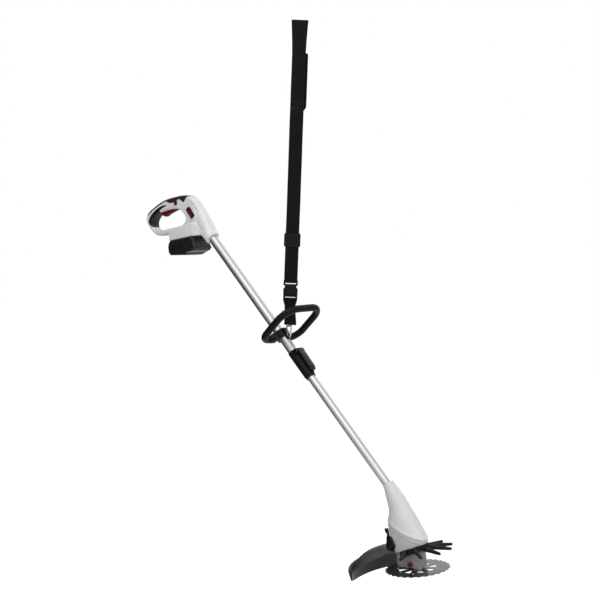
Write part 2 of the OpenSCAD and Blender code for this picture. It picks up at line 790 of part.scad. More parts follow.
module handle_screws() color("#6e7074") at_handle() {
    for (p = handle_screw_places) translate([p[0], 0, p[1]]) {
        rod_y(-p[2] + 4, 8, screw_shank);
        difference() {
            rod_y(-p[2] + 1.2, -p[2] + 4, screw_head);
            rod_y(-p[2], -p[2] + 2.6, 2.6);
        }
    }
}

// ---------------------------------------------------------------- controls
trigger_half = 8;
trigger_pin = 4;
module at_trigger_hinge() {
    at_handle() translate([-158, 0, 133]) children();
}
module trigger() color("#8e2530") difference() {
    union() {
        at_handle() plate_y(trigger_half) polygon([
            [-236, 130], [-235, 134 - trigger_depth], [-230, 125 - trigger_depth],
            [-222, 124 - trigger_depth], [-206, 127 - trigger_depth],
            [-189, 129 - trigger_depth], [-161, 134 - trigger_depth],
            [-151, 127], [-152, 133], [-158, 139], [-232, 136]]);
        at_trigger_hinge() rod_y(-trigger_half, trigger_half, 14);
    }
    at_trigger_hinge() rod_y(-30, 30, trigger_pin + 2 * running_gap);
    at_handle() wide_box(-228, -170, trigger_half - 2.4, 126, 145);
}

module at_lock_off() {
    at_handle() translate([-146, 0, 144.5]) rotate([0, -8, 0]) children();
}
module lock_off_bar(reach, grow) {
    rotate([90, 0, 0]) linear_extrude(height = 2 * reach, center = true) {
        for (dz = [-2, 2]) translate([0, dz]) circle(d = 15 + 2 * grow);
        square([15 + 2 * grow, 4], center = true);
    }
}
module lock_off_button() color("#c22a22") at_lock_off() lock_off_bar(grip_half + 2.6, 0);

module at_side_button() {
    at_shaft() translate([-handle_reach - 121, 0, 1]) children();
}
module side_button_plate(y0, y1, grow) {
    translate([0, y1, 0]) rotate([90, 0, 0]) linear_extrude(height = y1 - y0) {
        for (dx = [-15, 15], dy = [-5, 5]) translate([dx, dy]) circle(r = 4 + grow);
        square([30, 18 + 2 * grow], center = true);
        square([38 + 2 * grow, 10], center = true);
    }
}
module side_button() color("#c22a22") at_side_button() {
    side_button_plate(-socket_diameter / 2 + 1, -10, 0);
    side_button_plate(-11, -9, 2);
}

// ---------------------------------------------------------------- battery
pack_wall = 2.5;
pack_top = dock_floor - 0.5;
pack_points = [
    [-183, 9], [-188, -3], [-187, -24], [-178, -32], [-98, -39], [-58, -29], [-51, -22],
    [-54, -12], [-62, pack_top - 4], [-66, pack_top], [-174, pack_top]];
pack_split = 3;
cell_diameter = 18.5;
cell_length = 65;
cell_pitch = cell_diameter + part_gap;
cell_first = -160;
cell_low = -19.4;

module pack_solid(less) {
    pillow(inset(pack_points, less), pack_half - less, 6 - less, 3);
}
module pack_cells(grow) {
    for (k = [0 : 4], row = [0, 1])
        translate([cell_first + cell_pitch * k, 0, cell_low + cell_pitch * row]) rod_y(-cell_length / 2 - grow, cell_length / 2 + grow, cell_diameter + 2 * grow);
}
module pack_half_space(z0, z1) {
    box([-250, -100, z0], [0, 100, z1]);
}

module battery_top() color("#1e1e21") at_handle() difference() {
    union() {
        intersection() {
            pack_solid(0);
            pack_half_space(pack_split, 60);
        }
        wide_box(-170, -66, 22, pack_top - 2, dock_floor + 4);
        wide_box(-170, -66, 29.4, dock_floor + 3.4, dock_floor + 7);
        for (k = [0 : 5]) translate([-70 - 5 * k, 0, 0])
            wide_box(-1, 1, pack_half + 0.8, pack_split + 1, pack_top - 5);
    }
    intersection() {
        pack_solid(pack_wall);
        pack_half_space(-60, pack_top - pack_wall - 1);
    }
    for (y = [-9, 0, 9]) translate([0, y, 0])
        wide_box(-84, -60, 1.5, dock_floor + 2, dock_floor + 8);
    wide_box(-200, -176, 15 + part_gap, -12, 12 + part_gap);
}

module battery_base() color("#1e1e21") at_handle() difference() {
    intersection() {
        pack_solid(0);
        pack_half_space(-60, pack_split - 0.2);
    }
    difference() {
        pack_solid(pack_wall);
        cell_ribs();
    }
    wide_box(-200, -176, 15 + part_gap, -12 - part_gap, 12);
}
// Ribs on the base's floor that carry the cells
module cell_ribs() {
    rib_top = cell_low - cell_diameter / 2 - part_gap;
    for (y = [-22, 0, 22]) translate([0, y, 0]) plate_y(1.5) polygon([
        [-170, -60], [-68, -60], [-68, rib_top], [-170, rib_top]]);
}

module battery_cells() color("#3f6f9c") at_handle() pack_cells(0);

module battery_bumper() color("#77797d") at_handle() difference() {
    intersection() {
        pack_solid(-1.6);
        plate_y(60) polygon([
                [-128, -45], [-126, -36], [-98, -34.5], [-62, -25.5], [-56, -18], [-40, -18],
                [-40, -45]]);
    }
    pack_solid(0);
    pack_half_space(pack_split - 0.2, 60);
}

module battery_latch() color("#2f2f34") at_handle() {
    difference() {
        wide_box(-188, -180, 15, -12, 12);
        for (k = [-2 : 2]) translate([-188, 0, 4 * k]) rod_y(-20, 20, 1.6);
    }
}

// ---------------------------------------------------------------- cutting head
rim_centre = -17.5;
rim_length = 56.5;
rim_width = 40;
// Sections of the housing: height, centre, half length, half width
head_sections = [
    [240, -72, 17, 16], [222, -61.5, 20.5, 19], [200, -51, 26.5, 24], [179, -42.5, 30.5, 27],
    [161, -36, 34, 30.5], [143, -32, 41, 35], [126, -30, 47.5, 39], [105, -24.5, 53.5, 41],
    [80, rim_centre, rim_length, rim_width], [60, -18.5, 54, 38.5], [30, -22, 48, 35]];
head_sides = 36;
module head_solid(less) {
    skin([for (k = [len(head_sections) - 1 : -1 : 0]) let (c = head_sections[k])
        ellipse(c[1], c[2] - less, c[3] - less, c[0], head_sides)]);
}
// Everything above the slanting seam between cover and skirt, moved up by lift
module above_seam(lift) {
    translate([-75, 0, 136]) rotate([0, 26.5, 0]) box([-200, -100, lift], [200, 100, 300]);
}
// The plane of the skirt's lower rim
module at_rim() {
    translate([-50, 0, 45]) rotate([0, -rim_slope, 0]) children();
}
// Everything above the skirt's lower rim
module above_rim(lift) {
    at_rim() box([-200, -100, lift], [200, 100, 400]);
}
head_top = head_reach - 2;
case_front = motor_diameter / 2 + 8;
case_rear = motor_diameter / 2 + 10;
case_shift = 32;
case_low = 8;
case_high = 68;
case_wall = 3;
bearing_outer = 22;
bearing_width = 7;
bearing_low = case_low + 4;
bearing_high = case_high - 9;
head_screw_places = [[-44, 108], [-4, 94]];
// Half the housing's width at x and z
function head_half(x, z) = let (
    c = lookup(z, [for (s = head_sections) [s[0], s[1]]]),
    a = lookup(z, [for (s = head_sections) [s[0], s[2]]]),
    b = lookup(z, [for (s = head_sections) [s[0], s[3]]]))
    b * sqrt(1 - pow((x - c) / a, 2));
skirt_inset = 1.2;
screw_sink = 1;
function screw_seat(p) = head_half(p[0], p[1]) - skirt_inset - screw_sink;

module head_cover() color("#dfe0e2") difference() {
    union() {
        difference() {
            at_blade() intersection() {
                head_solid(0);
                above_seam(0.15);
            }
            at_blade() head_solid(cover_wall);
        }
        intersection() {
            at_blade() intersection() {
                head_solid(0.5);
                above_seam(0.15);
            }
            at_shaft() rod_x(head_reach - 30, head_reach + head_grasp + 4, lower_diameter + 7);
        }
    }
    at_shaft() rod_x(0, head_reach + head_grasp + part_gap, lower_diameter);
    at_shaft() rod_x(0, head_reach + head_grasp + 20, 16);
    at_shaft() box([head_top - 200, -100, -100], [head_top, 100, 100]);
}

// The two screws that hold the debris guard down on the skirt's shelf
module at_guard_screws() {
    for (side = [-1, 1]) translate([-85, 12 * side, 0]) children();
}
shelf_top = guard_crown - 7.5;

// Ribs from the skirt's wall to the motor case, which stands between them
module case_ribs() {
    for (x = [-30, -4], flip = [0, 1]) mirror([0, flip, 0]) difference() {
        box([x - 1.5, 20, case_high - 7],
            [x + 1.5, head_half(x, guard_crown) - skirt_inset - cover_wall / 2, case_high - 1]);
        case_outline(case_low, case_high, part_gap);
    }
}

module head_skirt() color("#c3c5c8") at_blade() {
    skirt_shell();
    case_ribs();
}
module skirt_shell() difference() {
    union() {
        intersection() {
            head_solid(skirt_inset);
            above_rim(0);
        }
        wide_box(-94, -55, 19, shelf_top - 5, shelf_top);
    }
    at_guard_screws() rod_z(shelf_top - 6, shelf_top + 1, screw_shank);
    head_solid(cover_wall + skirt_inset);
    above_seam(-0.15);
    for (p = head_screw_places, side = [0, 1]) mirror([0, side, 0]) translate([p[0], 0, p[1]]) {
        rod_y(0, 60, screw_shank);
        rod_y(screw_seat(p), 60, screw_head + part_gap);
    }
    case_outline(case_low, case_high, part_gap);
}

module head_screws() color("#6e7074") at_blade()
    for (p = head_screw_places, side = [-1, 1]) mirror([0, side > 0 ? 0 : 1, 0])
        translate([p[0], 0, p[1]]) {
            rod_y(screw_seat(p) - 9, screw_seat(p), screw_shank);
            rod_y(screw_seat(p), screw_seat(p) + 2.2, screw_head);
        }

module case_outline(z0, z1, grow) {
    translate([0, 0, z0]) linear_extrude(height = z1 - z0) hull() {
        circle(r = case_front + grow);
        translate([-case_shift, 0]) circle(r = case_rear + grow);
    }
}

module motor_case() color("#a3a5a8") at_blade() difference() {
    union() {
        difference() {
            case_outline(case_low, case_high, 0);
            case_outline(case_low + case_wall, case_high - case_wall, -case_wall);
        }
        rod_z(case_low, bearing_low + bearing_width, bearing_outer + 5);
        rod_z(bearing_high, case_high, motor_diameter + 3);
        rod_z(bearing_low + bearing_width + 4, case_high - 1, motor_diameter + 4);
    }
    rod_z(bearing_low + bearing_width, bearing_high, motor_diameter);
    rod_z(bearing_low, bearing_low + bearing_width + 1, bearing_outer);
    rod_z(bearing_high - 1, bearing_high + bearing_width, bearing_outer);
    rod_z(case_low - 1, case_high - 1, spindle_diameter + 4);
    at_spindle_lock() rod_z(lock_inner - lock_travel - part_gap, lock_outer + 10,
        lock_button + 2 * part_gap);
}

module motor_stator() color("#8a5a34") at_blade() difference() {
    rod_z(bearing_low + bearing_width + 5, bearing_high - 3, motor_diameter);
    rod_z(0, case_high, motor_diameter - 14);
}

module motor_rotor() color("#55575b") at_blade() difference() {
    rod_z(bearing_low + bearing_width + 5, bearing_high - 4, motor_diameter - 15);
    rod_z(0, case_high, spindle_diameter);
}

module spindle_bearings() color("#a9adb3") at_blade()
    for (z = [bearing_low, bearing_high]) difference() {
        rod_z(z, z + bearing_width, bearing_outer);
        rod_z(z - 1, z + bearing_width + 1, spindle_diameter + 2 * running_gap);
    }

lead_diameter = 5;
lead_drop = 8.2;
module motor_lead() color("#1a1a1a") {
    at_shaft() translate([0, 0, -lead_drop])
        rod_x(-lower_rear + 5, head_reach + head_grasp - 1, lead_diameter);
}

// ---------------------------------------------------------------- plant guard and debris guard
// A rod from p to q whose diameter changes from d0 to d1
module rod_between(p, q, d0, d1) {
    v = q - p;
    translate(p) rotate([0, acos(v[2] / norm(v)), atan2(v[1], v[0])])
        cylinder(h = norm(v), d1 = d0, d2 = d1);
}
finger_tip = 51;
finger_root = 60;
finger_flare = 2.5;
band_height = 15;
rim_slope = 16.5;
// The lower edge of the skirt, as an outline grown by some clearance
module rim_outline(grow) {
    polygon([for (i = [0 : head_sides - 1]) let (a = 360 * i / head_sides)
        [rim_centre + (rim_length + grow) * cos(a), (rim_width + grow) * sin(a)]]);
}
// A finger with a round tip, along x from the origin
module finger(length) {
    r = finger_diameter / 2;
    rotate([0, 90, 0]) rotate_extrude($fn = 24) intersection() {
        union() {
            polygon([[0, 0], [r + finger_flare, 0], [r - 0.8, length - r + 0.8],
                [0, length - r + 0.8]]);
            translate([0, length - r + 0.8]) circle(r = r - 0.8);
        }
        square([r + finger_flare + 1, length + 1]);
    }
}
module plant_guard() color("#1c1c1f") at_blade() {
    difference() {
        translate([0, 0, 20]) linear_extrude(height = 70) rim_outline(0);
        translate([0, 0, 19]) linear_extrude(height = 72) rim_outline(-2.6);
        at_rim() box([-300, -100, -part_gap], [300, 100, 100]);
        at_rim() box([-300, -100, -100], [300, 100, -band_height]);
        box([-200, -100, 0], [-26, 100, 100]);
    }
    for (phi = [-80, -48, -16, 16, 48, 80]) {
        root = [rim_centre + (rim_length - 3) * cos(phi), (rim_width - 3) * sin(phi)];
        tip = finger_reach * [cos(phi * 0.97), sin(phi * 0.97)];
        run = tip - root;
        // The root stays on the band, below the skirt's slanting rim
        low = min(finger_root, 45 + (root[0] + 50) * tan(rim_slope)
            - finger_diameter / 2 - finger_flare - 0.7);
        rise = finger_tip + 4 * cos(phi) - low;
        translate([root[0], root[1], low])
            rotate([0, 0, atan2(run[1], run[0])]) rotate([0, -atan2(rise, norm(run)), 0])
                finger(norm([run[0], run[1], rise]));
    }
}

// Where a ray at azimuth a leaves the ellipse centred at x = c
function ellipse_reach(a, c, p, q) = let (
    u = cos(a) * cos(a) / (p * p) + sin(a) * sin(a) / (q * q),
    v = -2 * c * cos(a) / (p * p),
    w = c * c / (p * p) - 1)
    (-v + sqrt(v * v - 4 * u * w)) / (2 * u);

// The guard reaches round the rear, turned a little to the user's left, from the skirt's
// outside at the height of the guard's crown
guard_seat = [guard_crown, lookup(guard_crown, [for (s = head_sections) [s[0], s[1]]]),
    lookup(guard_crown, [for (s = head_sections) [s[0], s[2]]]) - skirt_inset + part_gap,
    lookup(guard_crown, [for (s = head_sections) [s[0], s[3]]]) - skirt_inset + part_gap];
guard_span = 42;
guard_turn = -7;
// Steps along the outside from housing to rim: share of the way out, then the share of the
// height in the middle and at the two ends
guard_outside = [
    [0, 0.97, 0.86], [0.17, 1, 0.89], [0.32, 0.97, 0.8], [0.48, 0.915, 0.73],
    [0.64, 0.855, 0.66], [0.78, 0.76, 0.57], [0.9, 0.63, 0.47], [0.96, 0.54, 0.43],
    [1.02, 0.53, 0.45], [1.03, 0.5, 0.43], [1.01, 0.25, 0.25], [0.99, 0, 0.12]];
guard_inside = [
    [0.965, 0, 0.12], [0.96, 0.24, 0.24], [0.94, 0.47, 0.38], [0.88, 0.59, 0.43],
    [0.77, 0.72, 0.53], [0.63, 0.815, 0.62], [0.47, 0.875, 0.69], [0.32, 0.93, 0.76],
    [0.17, 0.96, 0.85], [0, 0.93, 0.82]];
function guard_point(delta, step) = let (
    share = pow(abs(delta) / guard_span, 4),
    a = 180 + guard_turn + delta,
    start = ellipse_reach(a, guard_seat[1], guard_seat[2], guard_seat[3]),
    height = (1 - share) * step[1] + share * step[2],
    r = start + (guard_radius - start) * step[0],
    z = guard_rim + (guard_crown - guard_rim) * height)
    [r * cos(a), r * sin(a), z];
module debris_guard() color("#1f1f22") at_blade() difference() {
    skin([for (delta = [-guard_span : guard_span / 7 : guard_span + 1])
        [for (step = concat(guard_outside, guard_inside)) guard_point(delta, step)]]);
    at_guard_screws() rod_z(30, 120, screw_shank);
}

latch_wall = 9;
latch_turn = 38;
// The skirt's outside between the seam and the rim, grown by some distance
module skirt_solid(grow) {
    skin([for (k = [len(head_sections) - 1 : -1 : 5]) let (c = head_sections[k])
        ellipse(c[1], c[2] + grow, c[3] + grow, c[0], head_sides)]);
}
module guard_latch() color("#131315") at_blade() difference() {
    intersection() {
        skirt_solid(latch_wall);
        rotate([0, 0, latch_turn]) translate([0, -50, 0]) plate_y(50) polygon([
            [-90, 108], [-68, 106], [-57.8, 89], [-49.5, 71], [-50, 56], [-52, 46], [-60, 46],
            [-64, guard_crown + 2], [-90, guard_crown + 6]]);
    }
    skirt_solid(part_gap - skirt_inset);
    rotate([0, 0, 180 + guard_turn + guard_span + 1.5])
        box([0, -100, 0], [200, 0, guard_crown + 1]);
    rotate([0, 0, latch_turn]) translate([-72, 0, 99]) rod_y(-100, 0, 5);
}

module guard_screws() color("#6e7074") at_blade() at_guard_screws() {
    rod_z(guard_crown - 12, guard_crown + 0.2, screw_shank);
    rod_z(guard_crown + 0.2, guard_crown + 2.4, screw_head);
}

// ---------------------------------------------------------------- spindle and blade
blade_bore = spindle_diameter;
flange_diameter = 34;
nut_height = 8;
// Its end below the nut is turned down, for a centring sleeve or cap
spindle_end = 8;
end_length = 6;
module spindle() color("#9a9da2") at_blade() {
    low = -blade_thickness / 2 - 3 - nut_height;
    rod_z(low, bearing_high + bearing_width - 0.5, spindle_diameter);
    rod_z(low - end_length, 0, spindle_end);
}

module blade_flange() color("#7d8086") at_blade() difference() {
    union() {
        rod_z(blade_thickness / 2, 4.5, flange_diameter);
        rod_z(blade_thickness / 2, case_low - 1, spindle_diameter + 10);
        rod_z(-blade_thickness / 2 - 2.6, -blade_thickness / 2, flange_diameter - 4);
    }
    rod_z(-20, 20, spindle_diameter);
}

module saw_blade() color("#b4b7bb") at_blade() difference() {
    translate([0, 0, -blade_thickness / 2]) linear_extrude(height = blade_thickness) polygon([
        for (k = [0 : tooth_count - 1], j = [0 : 2])
            let (a = -360 * (k + [0, 0.12, 0.62][j]) / tooth_count,
                r = blade_diameter / 2 - [0, 1.2, tooth_depth][j])
            [r * cos(a), r * sin(a)]]);
    rod_z(-5, 5, blade_bore);
    for (a = [0 : 60 : 300]) rotate([0, 0, a]) {
        translate([blade_diameter / 2 - 40, 6, 0]) rod_z(-5, 5, 11);
        translate([blade_diameter / 2 - 40, -6, 0]) rod_z(-5, 5, 11);
        box([blade_diameter / 2 - 45.5, -6, -5], [blade_diameter / 2 - 34.5, 6, 5]);
    }
}

module blade_nut() color("#c4c7cb") at_blade() difference() {
    translate([0, 0, -blade_thickness / 2 - 2.6 - nut_height])
        cylinder(h = nut_height, d = 19.6, $fn = 6);
    rod_z(-30, 0, spindle_diameter);
}

lock_button = 13;
lock_inner = 18.5;
lock_outer = 34;
lock_travel = 4;
module at_spindle_lock() {
    translate([0, 0, case_low + 9]) rotate([0, 90, -92]) children();
}
module spindle_lock() color("#c22a22") at_blade() at_spindle_lock() {
    rod_z(lock_inner, lock_outer, lock_button);
}

strap_right();
strap_left();
strap_top();
strap_foot();
shoulder_pad();
buckle_socket();
strap_slider();
slider_bar();
buckle_plug();
strap_tail();
pull_ring();
snap_hook();
hook_gate();
upper_tube();
handle_shell_right();
handle_shell_left();
top_grip();
rear_grip();
terminal_block();
trigger_switch();
handle_screws();
clamp_bracket();
clamp_cap();
clamp_screws();
strap_eye();
lock_sleeve();
lock_collar();
lock_pin();
lock_lever();
loop_handle();
loop_grip();
trigger();
lock_off_button();
side_button();
battery_top();
battery_base();
battery_cells();
battery_bumper();
battery_latch();
lower_tube();
tube_bush();
head_cover();
head_skirt();
motor_case();
motor_lead();
motor_stator();
spindle_bearings();
head_screws();
plant_guard();
debris_guard();
guard_latch();
guard_screws();
spindle();
motor_rotor();
blade_flange();
saw_blade();
blade_nut();
spindle_lock();
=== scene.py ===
"""Battery grass trimmer and brush cutter, hanging from its shoulder strap."""
import json
import math
from functools import partial

import bmesh
import bpy
import numpy as np
from mathutils import Matrix, Vector


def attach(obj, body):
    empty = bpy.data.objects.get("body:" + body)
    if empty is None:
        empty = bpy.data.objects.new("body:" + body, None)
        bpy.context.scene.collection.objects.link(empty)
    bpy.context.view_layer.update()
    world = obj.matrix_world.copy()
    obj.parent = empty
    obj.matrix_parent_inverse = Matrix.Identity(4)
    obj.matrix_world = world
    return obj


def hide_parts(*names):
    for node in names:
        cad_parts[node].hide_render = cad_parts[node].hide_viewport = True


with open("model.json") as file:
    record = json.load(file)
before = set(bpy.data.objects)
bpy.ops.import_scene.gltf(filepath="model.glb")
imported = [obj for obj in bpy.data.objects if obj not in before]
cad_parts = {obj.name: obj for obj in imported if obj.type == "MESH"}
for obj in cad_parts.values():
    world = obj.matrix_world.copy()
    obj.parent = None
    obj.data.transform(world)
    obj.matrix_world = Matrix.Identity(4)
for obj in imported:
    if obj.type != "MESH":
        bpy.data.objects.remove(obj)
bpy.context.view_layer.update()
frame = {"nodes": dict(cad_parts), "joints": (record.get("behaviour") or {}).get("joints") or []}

# ---------------------------------------------------------------- camera and studio
# The machine hangs in front of a white paper sweep, seen from its right hand side and
# a little from the front.
look_turn, look_drop, look_roll = math.radians(41.64), math.radians(6.02), math.radians(2.10)
turn_sin, turn_cos = math.sin(look_turn), math.cos(look_turn)
look = Vector((-turn_sin * math.cos(look_drop), turn_cos * math.cos(look_drop),
               -math.sin(look_drop)))
level = Vector((turn_cos, turn_sin, 0))
camera_right = math.cos(look_roll) * level + math.sin(look_roll) * level.cross(look)
camera_up = camera_right.cross(look)


def linked(name, data):
    """Makes an object and puts it in the scene."""
    made = bpy.data.objects.new(name, data)
    bpy.context.scene.collection.objects.link(made)
    return made


camera = linked("camera", bpy.data.cameras.new("camera"))
camera.data.lens, camera.data.sensor_width, camera.data.clip_end = 55.9, 36, 100
camera.matrix_world = Matrix.Translation((1.913, -2.106, -0.538)) @ Matrix(
    (camera_right, camera_up, -look)).transposed().to_4x4()
bpy.context.scene.camera = camera
bpy.context.scene.view_settings.view_transform = "Standard"


class Socket:
    """A value in a material. Arithmetic on it adds Math nodes."""

    def __init__(self, shop, link):
        self.shop, self.link = shop, link

    def math(self, operation, *values):
        return self.shop.add("ShaderNodeMath", {"operation": operation}, *values)

    def __add__(self, other):
        return self.math("ADD", self, other)

    def __sub__(self, other):
        return self.math("SUBTRACT", self, other)

    def __rsub__(self, other):
        return self.math("SUBTRACT", other, self)

    def __mul__(self, other):
        return self.math("MULTIPLY", self, other)

    def __pow__(self, other):
        return self.math("POWER", self, other)

    __radd__, __rmul__ = __add__, __mul__

    def sine(self):
        return self.math("SINE", self)

    def size(self):
        return self.math("ABSOLUTE", self)

    def most(self, other):
        return self.math("MAXIMUM", self, other)

    def least(self, other):
        return self.math("MINIMUM", self, other)

    def share(self):
        """The value, kept between 0 and 1."""
        return self.most(0.0).least(1.0)


class Shop:
    """The nodes of one material, or of the world."""

    def __init__(self, name, shelf=bpy.data.materials):
        self.material = shelf.new(name)
        self.material.use_nodes = True
        self.tree = self.material.node_tree
        self.tree.nodes.clear()
        self.place = self.add("ShaderNodeTexCoord", out="Object")

    def add(self, kind, settings=None, *values, out=0, **named):
        """Adds a node: its settings first, then the values or links of its sockets. A None
        leaves a socket as it is."""
        node = self.tree.nodes.new(kind)
        for key, value in (settings or {}).items():
            setattr(node, key, value)
        for key, value in [*enumerate(values), *named.items()]:
            socket = node.inputs[key.replace("_", " ") if isinstance(key, str) else key]
            if isinstance(value, Socket):
                self.tree.links.new(value.link, socket)
            elif value is not None:
                socket.default_value = value
        return Socket(self, node.outputs[out]) if node.outputs else None

    def mix(self, low, high, share):
        """One colour turning into another as share goes from 0 to 1."""
        return self.add("ShaderNodeMix", {"data_type": "RGBA"}, share, *[None] * 5, low, high,
                        out=2)

    def noise(self, scale, detail=3.0, rough=0.5):
        """Cloudy values from 0 to 1, with about scale clouds to the metre."""
        return self.add("ShaderNodeTexNoise", None, Vector=self.place, Scale=scale,
                        Detail=detail, Roughness=rough)

    def drawn(self, detail, x, y=0.0, z=0.0):
        """Noise whose grain follows three values, each with its own scale."""
        return self.add("ShaderNodeTexNoise", None, Detail=detail, Scale=1.0,
                        Vector=self.add("ShaderNodeCombineXYZ", None, x, y, z))

    def along(self, origin, direction):
        """How far the place lies from the origin along a direction, in metres."""
        away = self.add("ShaderNodeVectorMath", {"operation": "SUBTRACT"}, self.place,
                        tuple(origin))
        return self.add("ShaderNodeVectorMath", {"operation": "DOT_PRODUCT"}, away,
                        tuple(direction), out="Value")

    def finish(self, colour, rough, height=None, depth=0.0002, strength=0.5, metal=0.0,
               **constants):
        """Closes the material with a plain surface shader and returns it."""
        if height is not None:
            constants["Normal"] = self.add("ShaderNodeBump", None, Height=height,
                                           Distance=depth, Strength=strength)
        surface = self.add("ShaderNodeBsdfPrincipled", None, Base_Color=colour,
                           Roughness=rough, Metallic=metal, **constants)
        self.add("ShaderNodeOutputMaterial", None, surface)
        return self.material


def rgb(value, tint=(1, 1, 1)):
    """A grey, or a tinted grey, as a colour."""
    return (value * tint[0], value * tint[1], value * tint[2], 1.0)


def card(name, corners, material):
    """A flat four-sided card of the studio."""
    mesh = bpy.data.meshes.new(name)
    mesh.from_pydata(corners, [], [(0, 1, 2, 3)])
    mesh.materials.append(material)
    made = linked(name, mesh)
    return made


# The floor keeps the shadow, and its glow shows only to the camera and in reflections.
floor_level, reach, floor_glow = -2.6, 14.0, 0.64
paper = Shop("white_paper")
seen = paper.add("ShaderNodeLightPath", out="Is Camera Ray")
mirrored = paper.add("ShaderNodeLightPath", out="Is Glossy Ray")
paper_lit = paper.add("ShaderNodeBsdfDiffuse", None, rgb(0.9))
paper_glow = paper.add("ShaderNodeEmission", None, rgb(1.0), floor_glow)
paper.add("ShaderNodeOutputMaterial", None, paper.add(
    "ShaderNodeMixShader", None, seen + mirrored, paper_lit,
    paper.add("ShaderNodeAddShader", None, paper_lit, paper_glow)))
card("studio_floor", [(-reach, -reach, floor_level), (reach, -reach, floor_level),
                      (reach, reach, floor_level), (-reach, reach, floor_level)],
     paper.material)

# The air is white where it is seen, and dimmer as a lamp.
air, air_lamp = Shop("studio", bpy.data.worlds), 0.42
white_seen = sum((air.add("ShaderNodeLightPath", out=f"Is {kind} Ray")
                  for kind in ("Camera", "Glossy", "Transmission")), start=0.0).least(1.0)
air.add("ShaderNodeOutputWorld", None, air.add(
    "ShaderNodeBackground", None, rgb(1.0), white_seen * (1 - air_lamp) + air_lamp))
bpy.context.scene.world = air.material

# Three soft lamps face the middle of the machine: above in front, at the side and behind.
for name, place, width, height, watts in (
        ("key_lamp", (0.7, -1.6, 1.5), 2.8, 2.8, 50),
        ("side_lamp", (2.6, -0.2, -0.2), 1.6, 2.4, 20),
        ("rim_lamp", (-0.6, 2.8, 1.2), 2.4, 1.6, 12)):
    lamp = linked(name, bpy.data.lights.new(name, "AREA"))
    lamp.data.shape, lamp.data.energy = "RECTANGLE", watts
    lamp.data.size, lamp.data.size_y = width, height
    facing = (Vector((0, 0, -0.9)) - Vector(place)).to_track_quat("-Z", "Y")
    lamp.matrix_world = Matrix.Translation(place) @ facing.to_matrix().to_4x4()

# A black flag on the left shows only in the metal's reflections, and gives it dark edges.
flag = card("black_flag", [(-1.7, -2.6, -3.6), (-2.1, 2.2, -3.6), (-1.7, 2.2, 0.1),
                           (-1.3, -2.6, 0.1)], Shop("black_flag").finish(rgb(0.02), 0.9))
flag.visible_camera = flag.visible_diffuse = flag.visible_shadow = False

# ---------------------------------------------------------------- webbing of the strap
# A closed loop of 41 mm nylon webbing, 2.2 mm thick, hangs from the shoulder and runs round
# a bar in the buckle. It is woven in fine lengthwise ribs and grows a little wider on top.
mm = 0.001
joints = {joint["name"]: joint for joint in frame["joints"]}
across = np.array([0.0, 1.0, 0.0])
shaft_run = np.array(joints["telescope"]["axis"])
shaft_up = np.cross(shaft_run, across)
strap_face = np.array(joints["pull_ring_turn"]["axis"])
strap_side = np.cross(strap_face, (0, 0, 1))
foot_of_strap = np.array([0.0, 0.0, joints["swing"]["pos_m"][2] - 0.0352])


def placed(origin, x_way, y_way, z_way, x, y, z):
    """Millimetres along three directions from an origin, as points in metres."""
    return (origin + mm * (np.multiply.outer(x, x_way) + np.multiply.outer(y, y_way)
                           + np.multiply.outer(z, z_way)))


# x across the webbing's width, y through its thickness, z up from the shaft.
at_strap = partial(placed, foot_of_strap, strap_side, strap_face, (0, 0, 1))


def smoothed(mesh, sharp=40):
    """Shades a mesh smoothly, but for its edges that are sharper than some degrees."""
    mesh.polygons.foreach_set("use_smooth", np.ones(len(mesh.polygons), bool))
    mesh.set_sharp_from_angle(angle=math.radians(sharp))


def wrap_up(name, points, faces, sharp):
    """A piece from points and faces, with its doubles merged and its faces outwards."""
    mesh = bpy.data.meshes.new(name)
    mesh.from_pydata(points.reshape(-1, 3).tolist(), [], faces)
    work = bmesh.new()
    work.from_mesh(mesh)
    bmesh.ops.remove_doubles(work, verts=work.verts, dist=2e-6)
    bmesh.ops.recalc_face_normals(work, faces=work.faces)
    work.to_mesh(mesh)
    work.free()
    smoothed(mesh, sharp)
    return linked(name, mesh)


def grid_faces(rows, columns, closed=False, first=0):
    """Four-sided faces between rows of points that are rings. The last row meets the first
    one when closed is set; otherwise a flat face closes each end."""
    j, i = np.meshgrid(np.arange(rows if closed else rows - 1), np.arange(columns),
                       indexing="ij")
    j2, i2 = (j + 1) % rows, (i + 1) % columns
    faces = first + np.stack([j * columns + i, j * columns + i2, j2 * columns + i2,
                              j2 * columns + i], -1).reshape(-1, 4)
    ends = [] if closed else [range(columns)[::-1], range((rows - 1) * columns, rows * columns)]
    return faces.tolist() + [[first + at for at in end] for end in ends]


def surface(name, grid, closed=False, sharp=40):
    """A closed skin on a grid of points in which each row is a ring."""
    return wrap_up(name, grid, grid_faces(*grid.shape[:2], closed), sharp)


def dress(piece, material, body, slot, *stands_for):
    """Gives a new piece its material and its body, and hides the nodes that it stands for. The
    slot is not used."""
    piece.data.materials.clear()
    piece.data.materials.append(material)
    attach(piece, body)
    if stands_for:
        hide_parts(*stands_for)
    return piece


def softened(values, power):
    """Values from -1 to 1 that keep their sign and take a power of their size: with a
    cosine and a sine, a rectangle with round corners."""
    return np.sign(values) * np.abs(values) ** power


strap_low, strap_high, run_radius, webbing_half, webbing_thick = 197, 973.8, 4.1, 20.5, 2.2
straight = np.linspace(strap_low, strap_high, 260)[1:-1]
half_turn = np.linspace(0, math.pi, 18)
side = np.ones(straight.size)
out_y = np.concatenate([np.cos(half_turn), -side, -np.cos(half_turn), side])
out_z = np.concatenate([-np.sin(half_turn), 0 * side, np.sin(half_turn), 0 * side])
path_z = run_radius * out_z + np.concatenate(
    [np.full(half_turn.size, strap_low), straight, np.full(half_turn.size, strap_high),
     straight[::-1]])
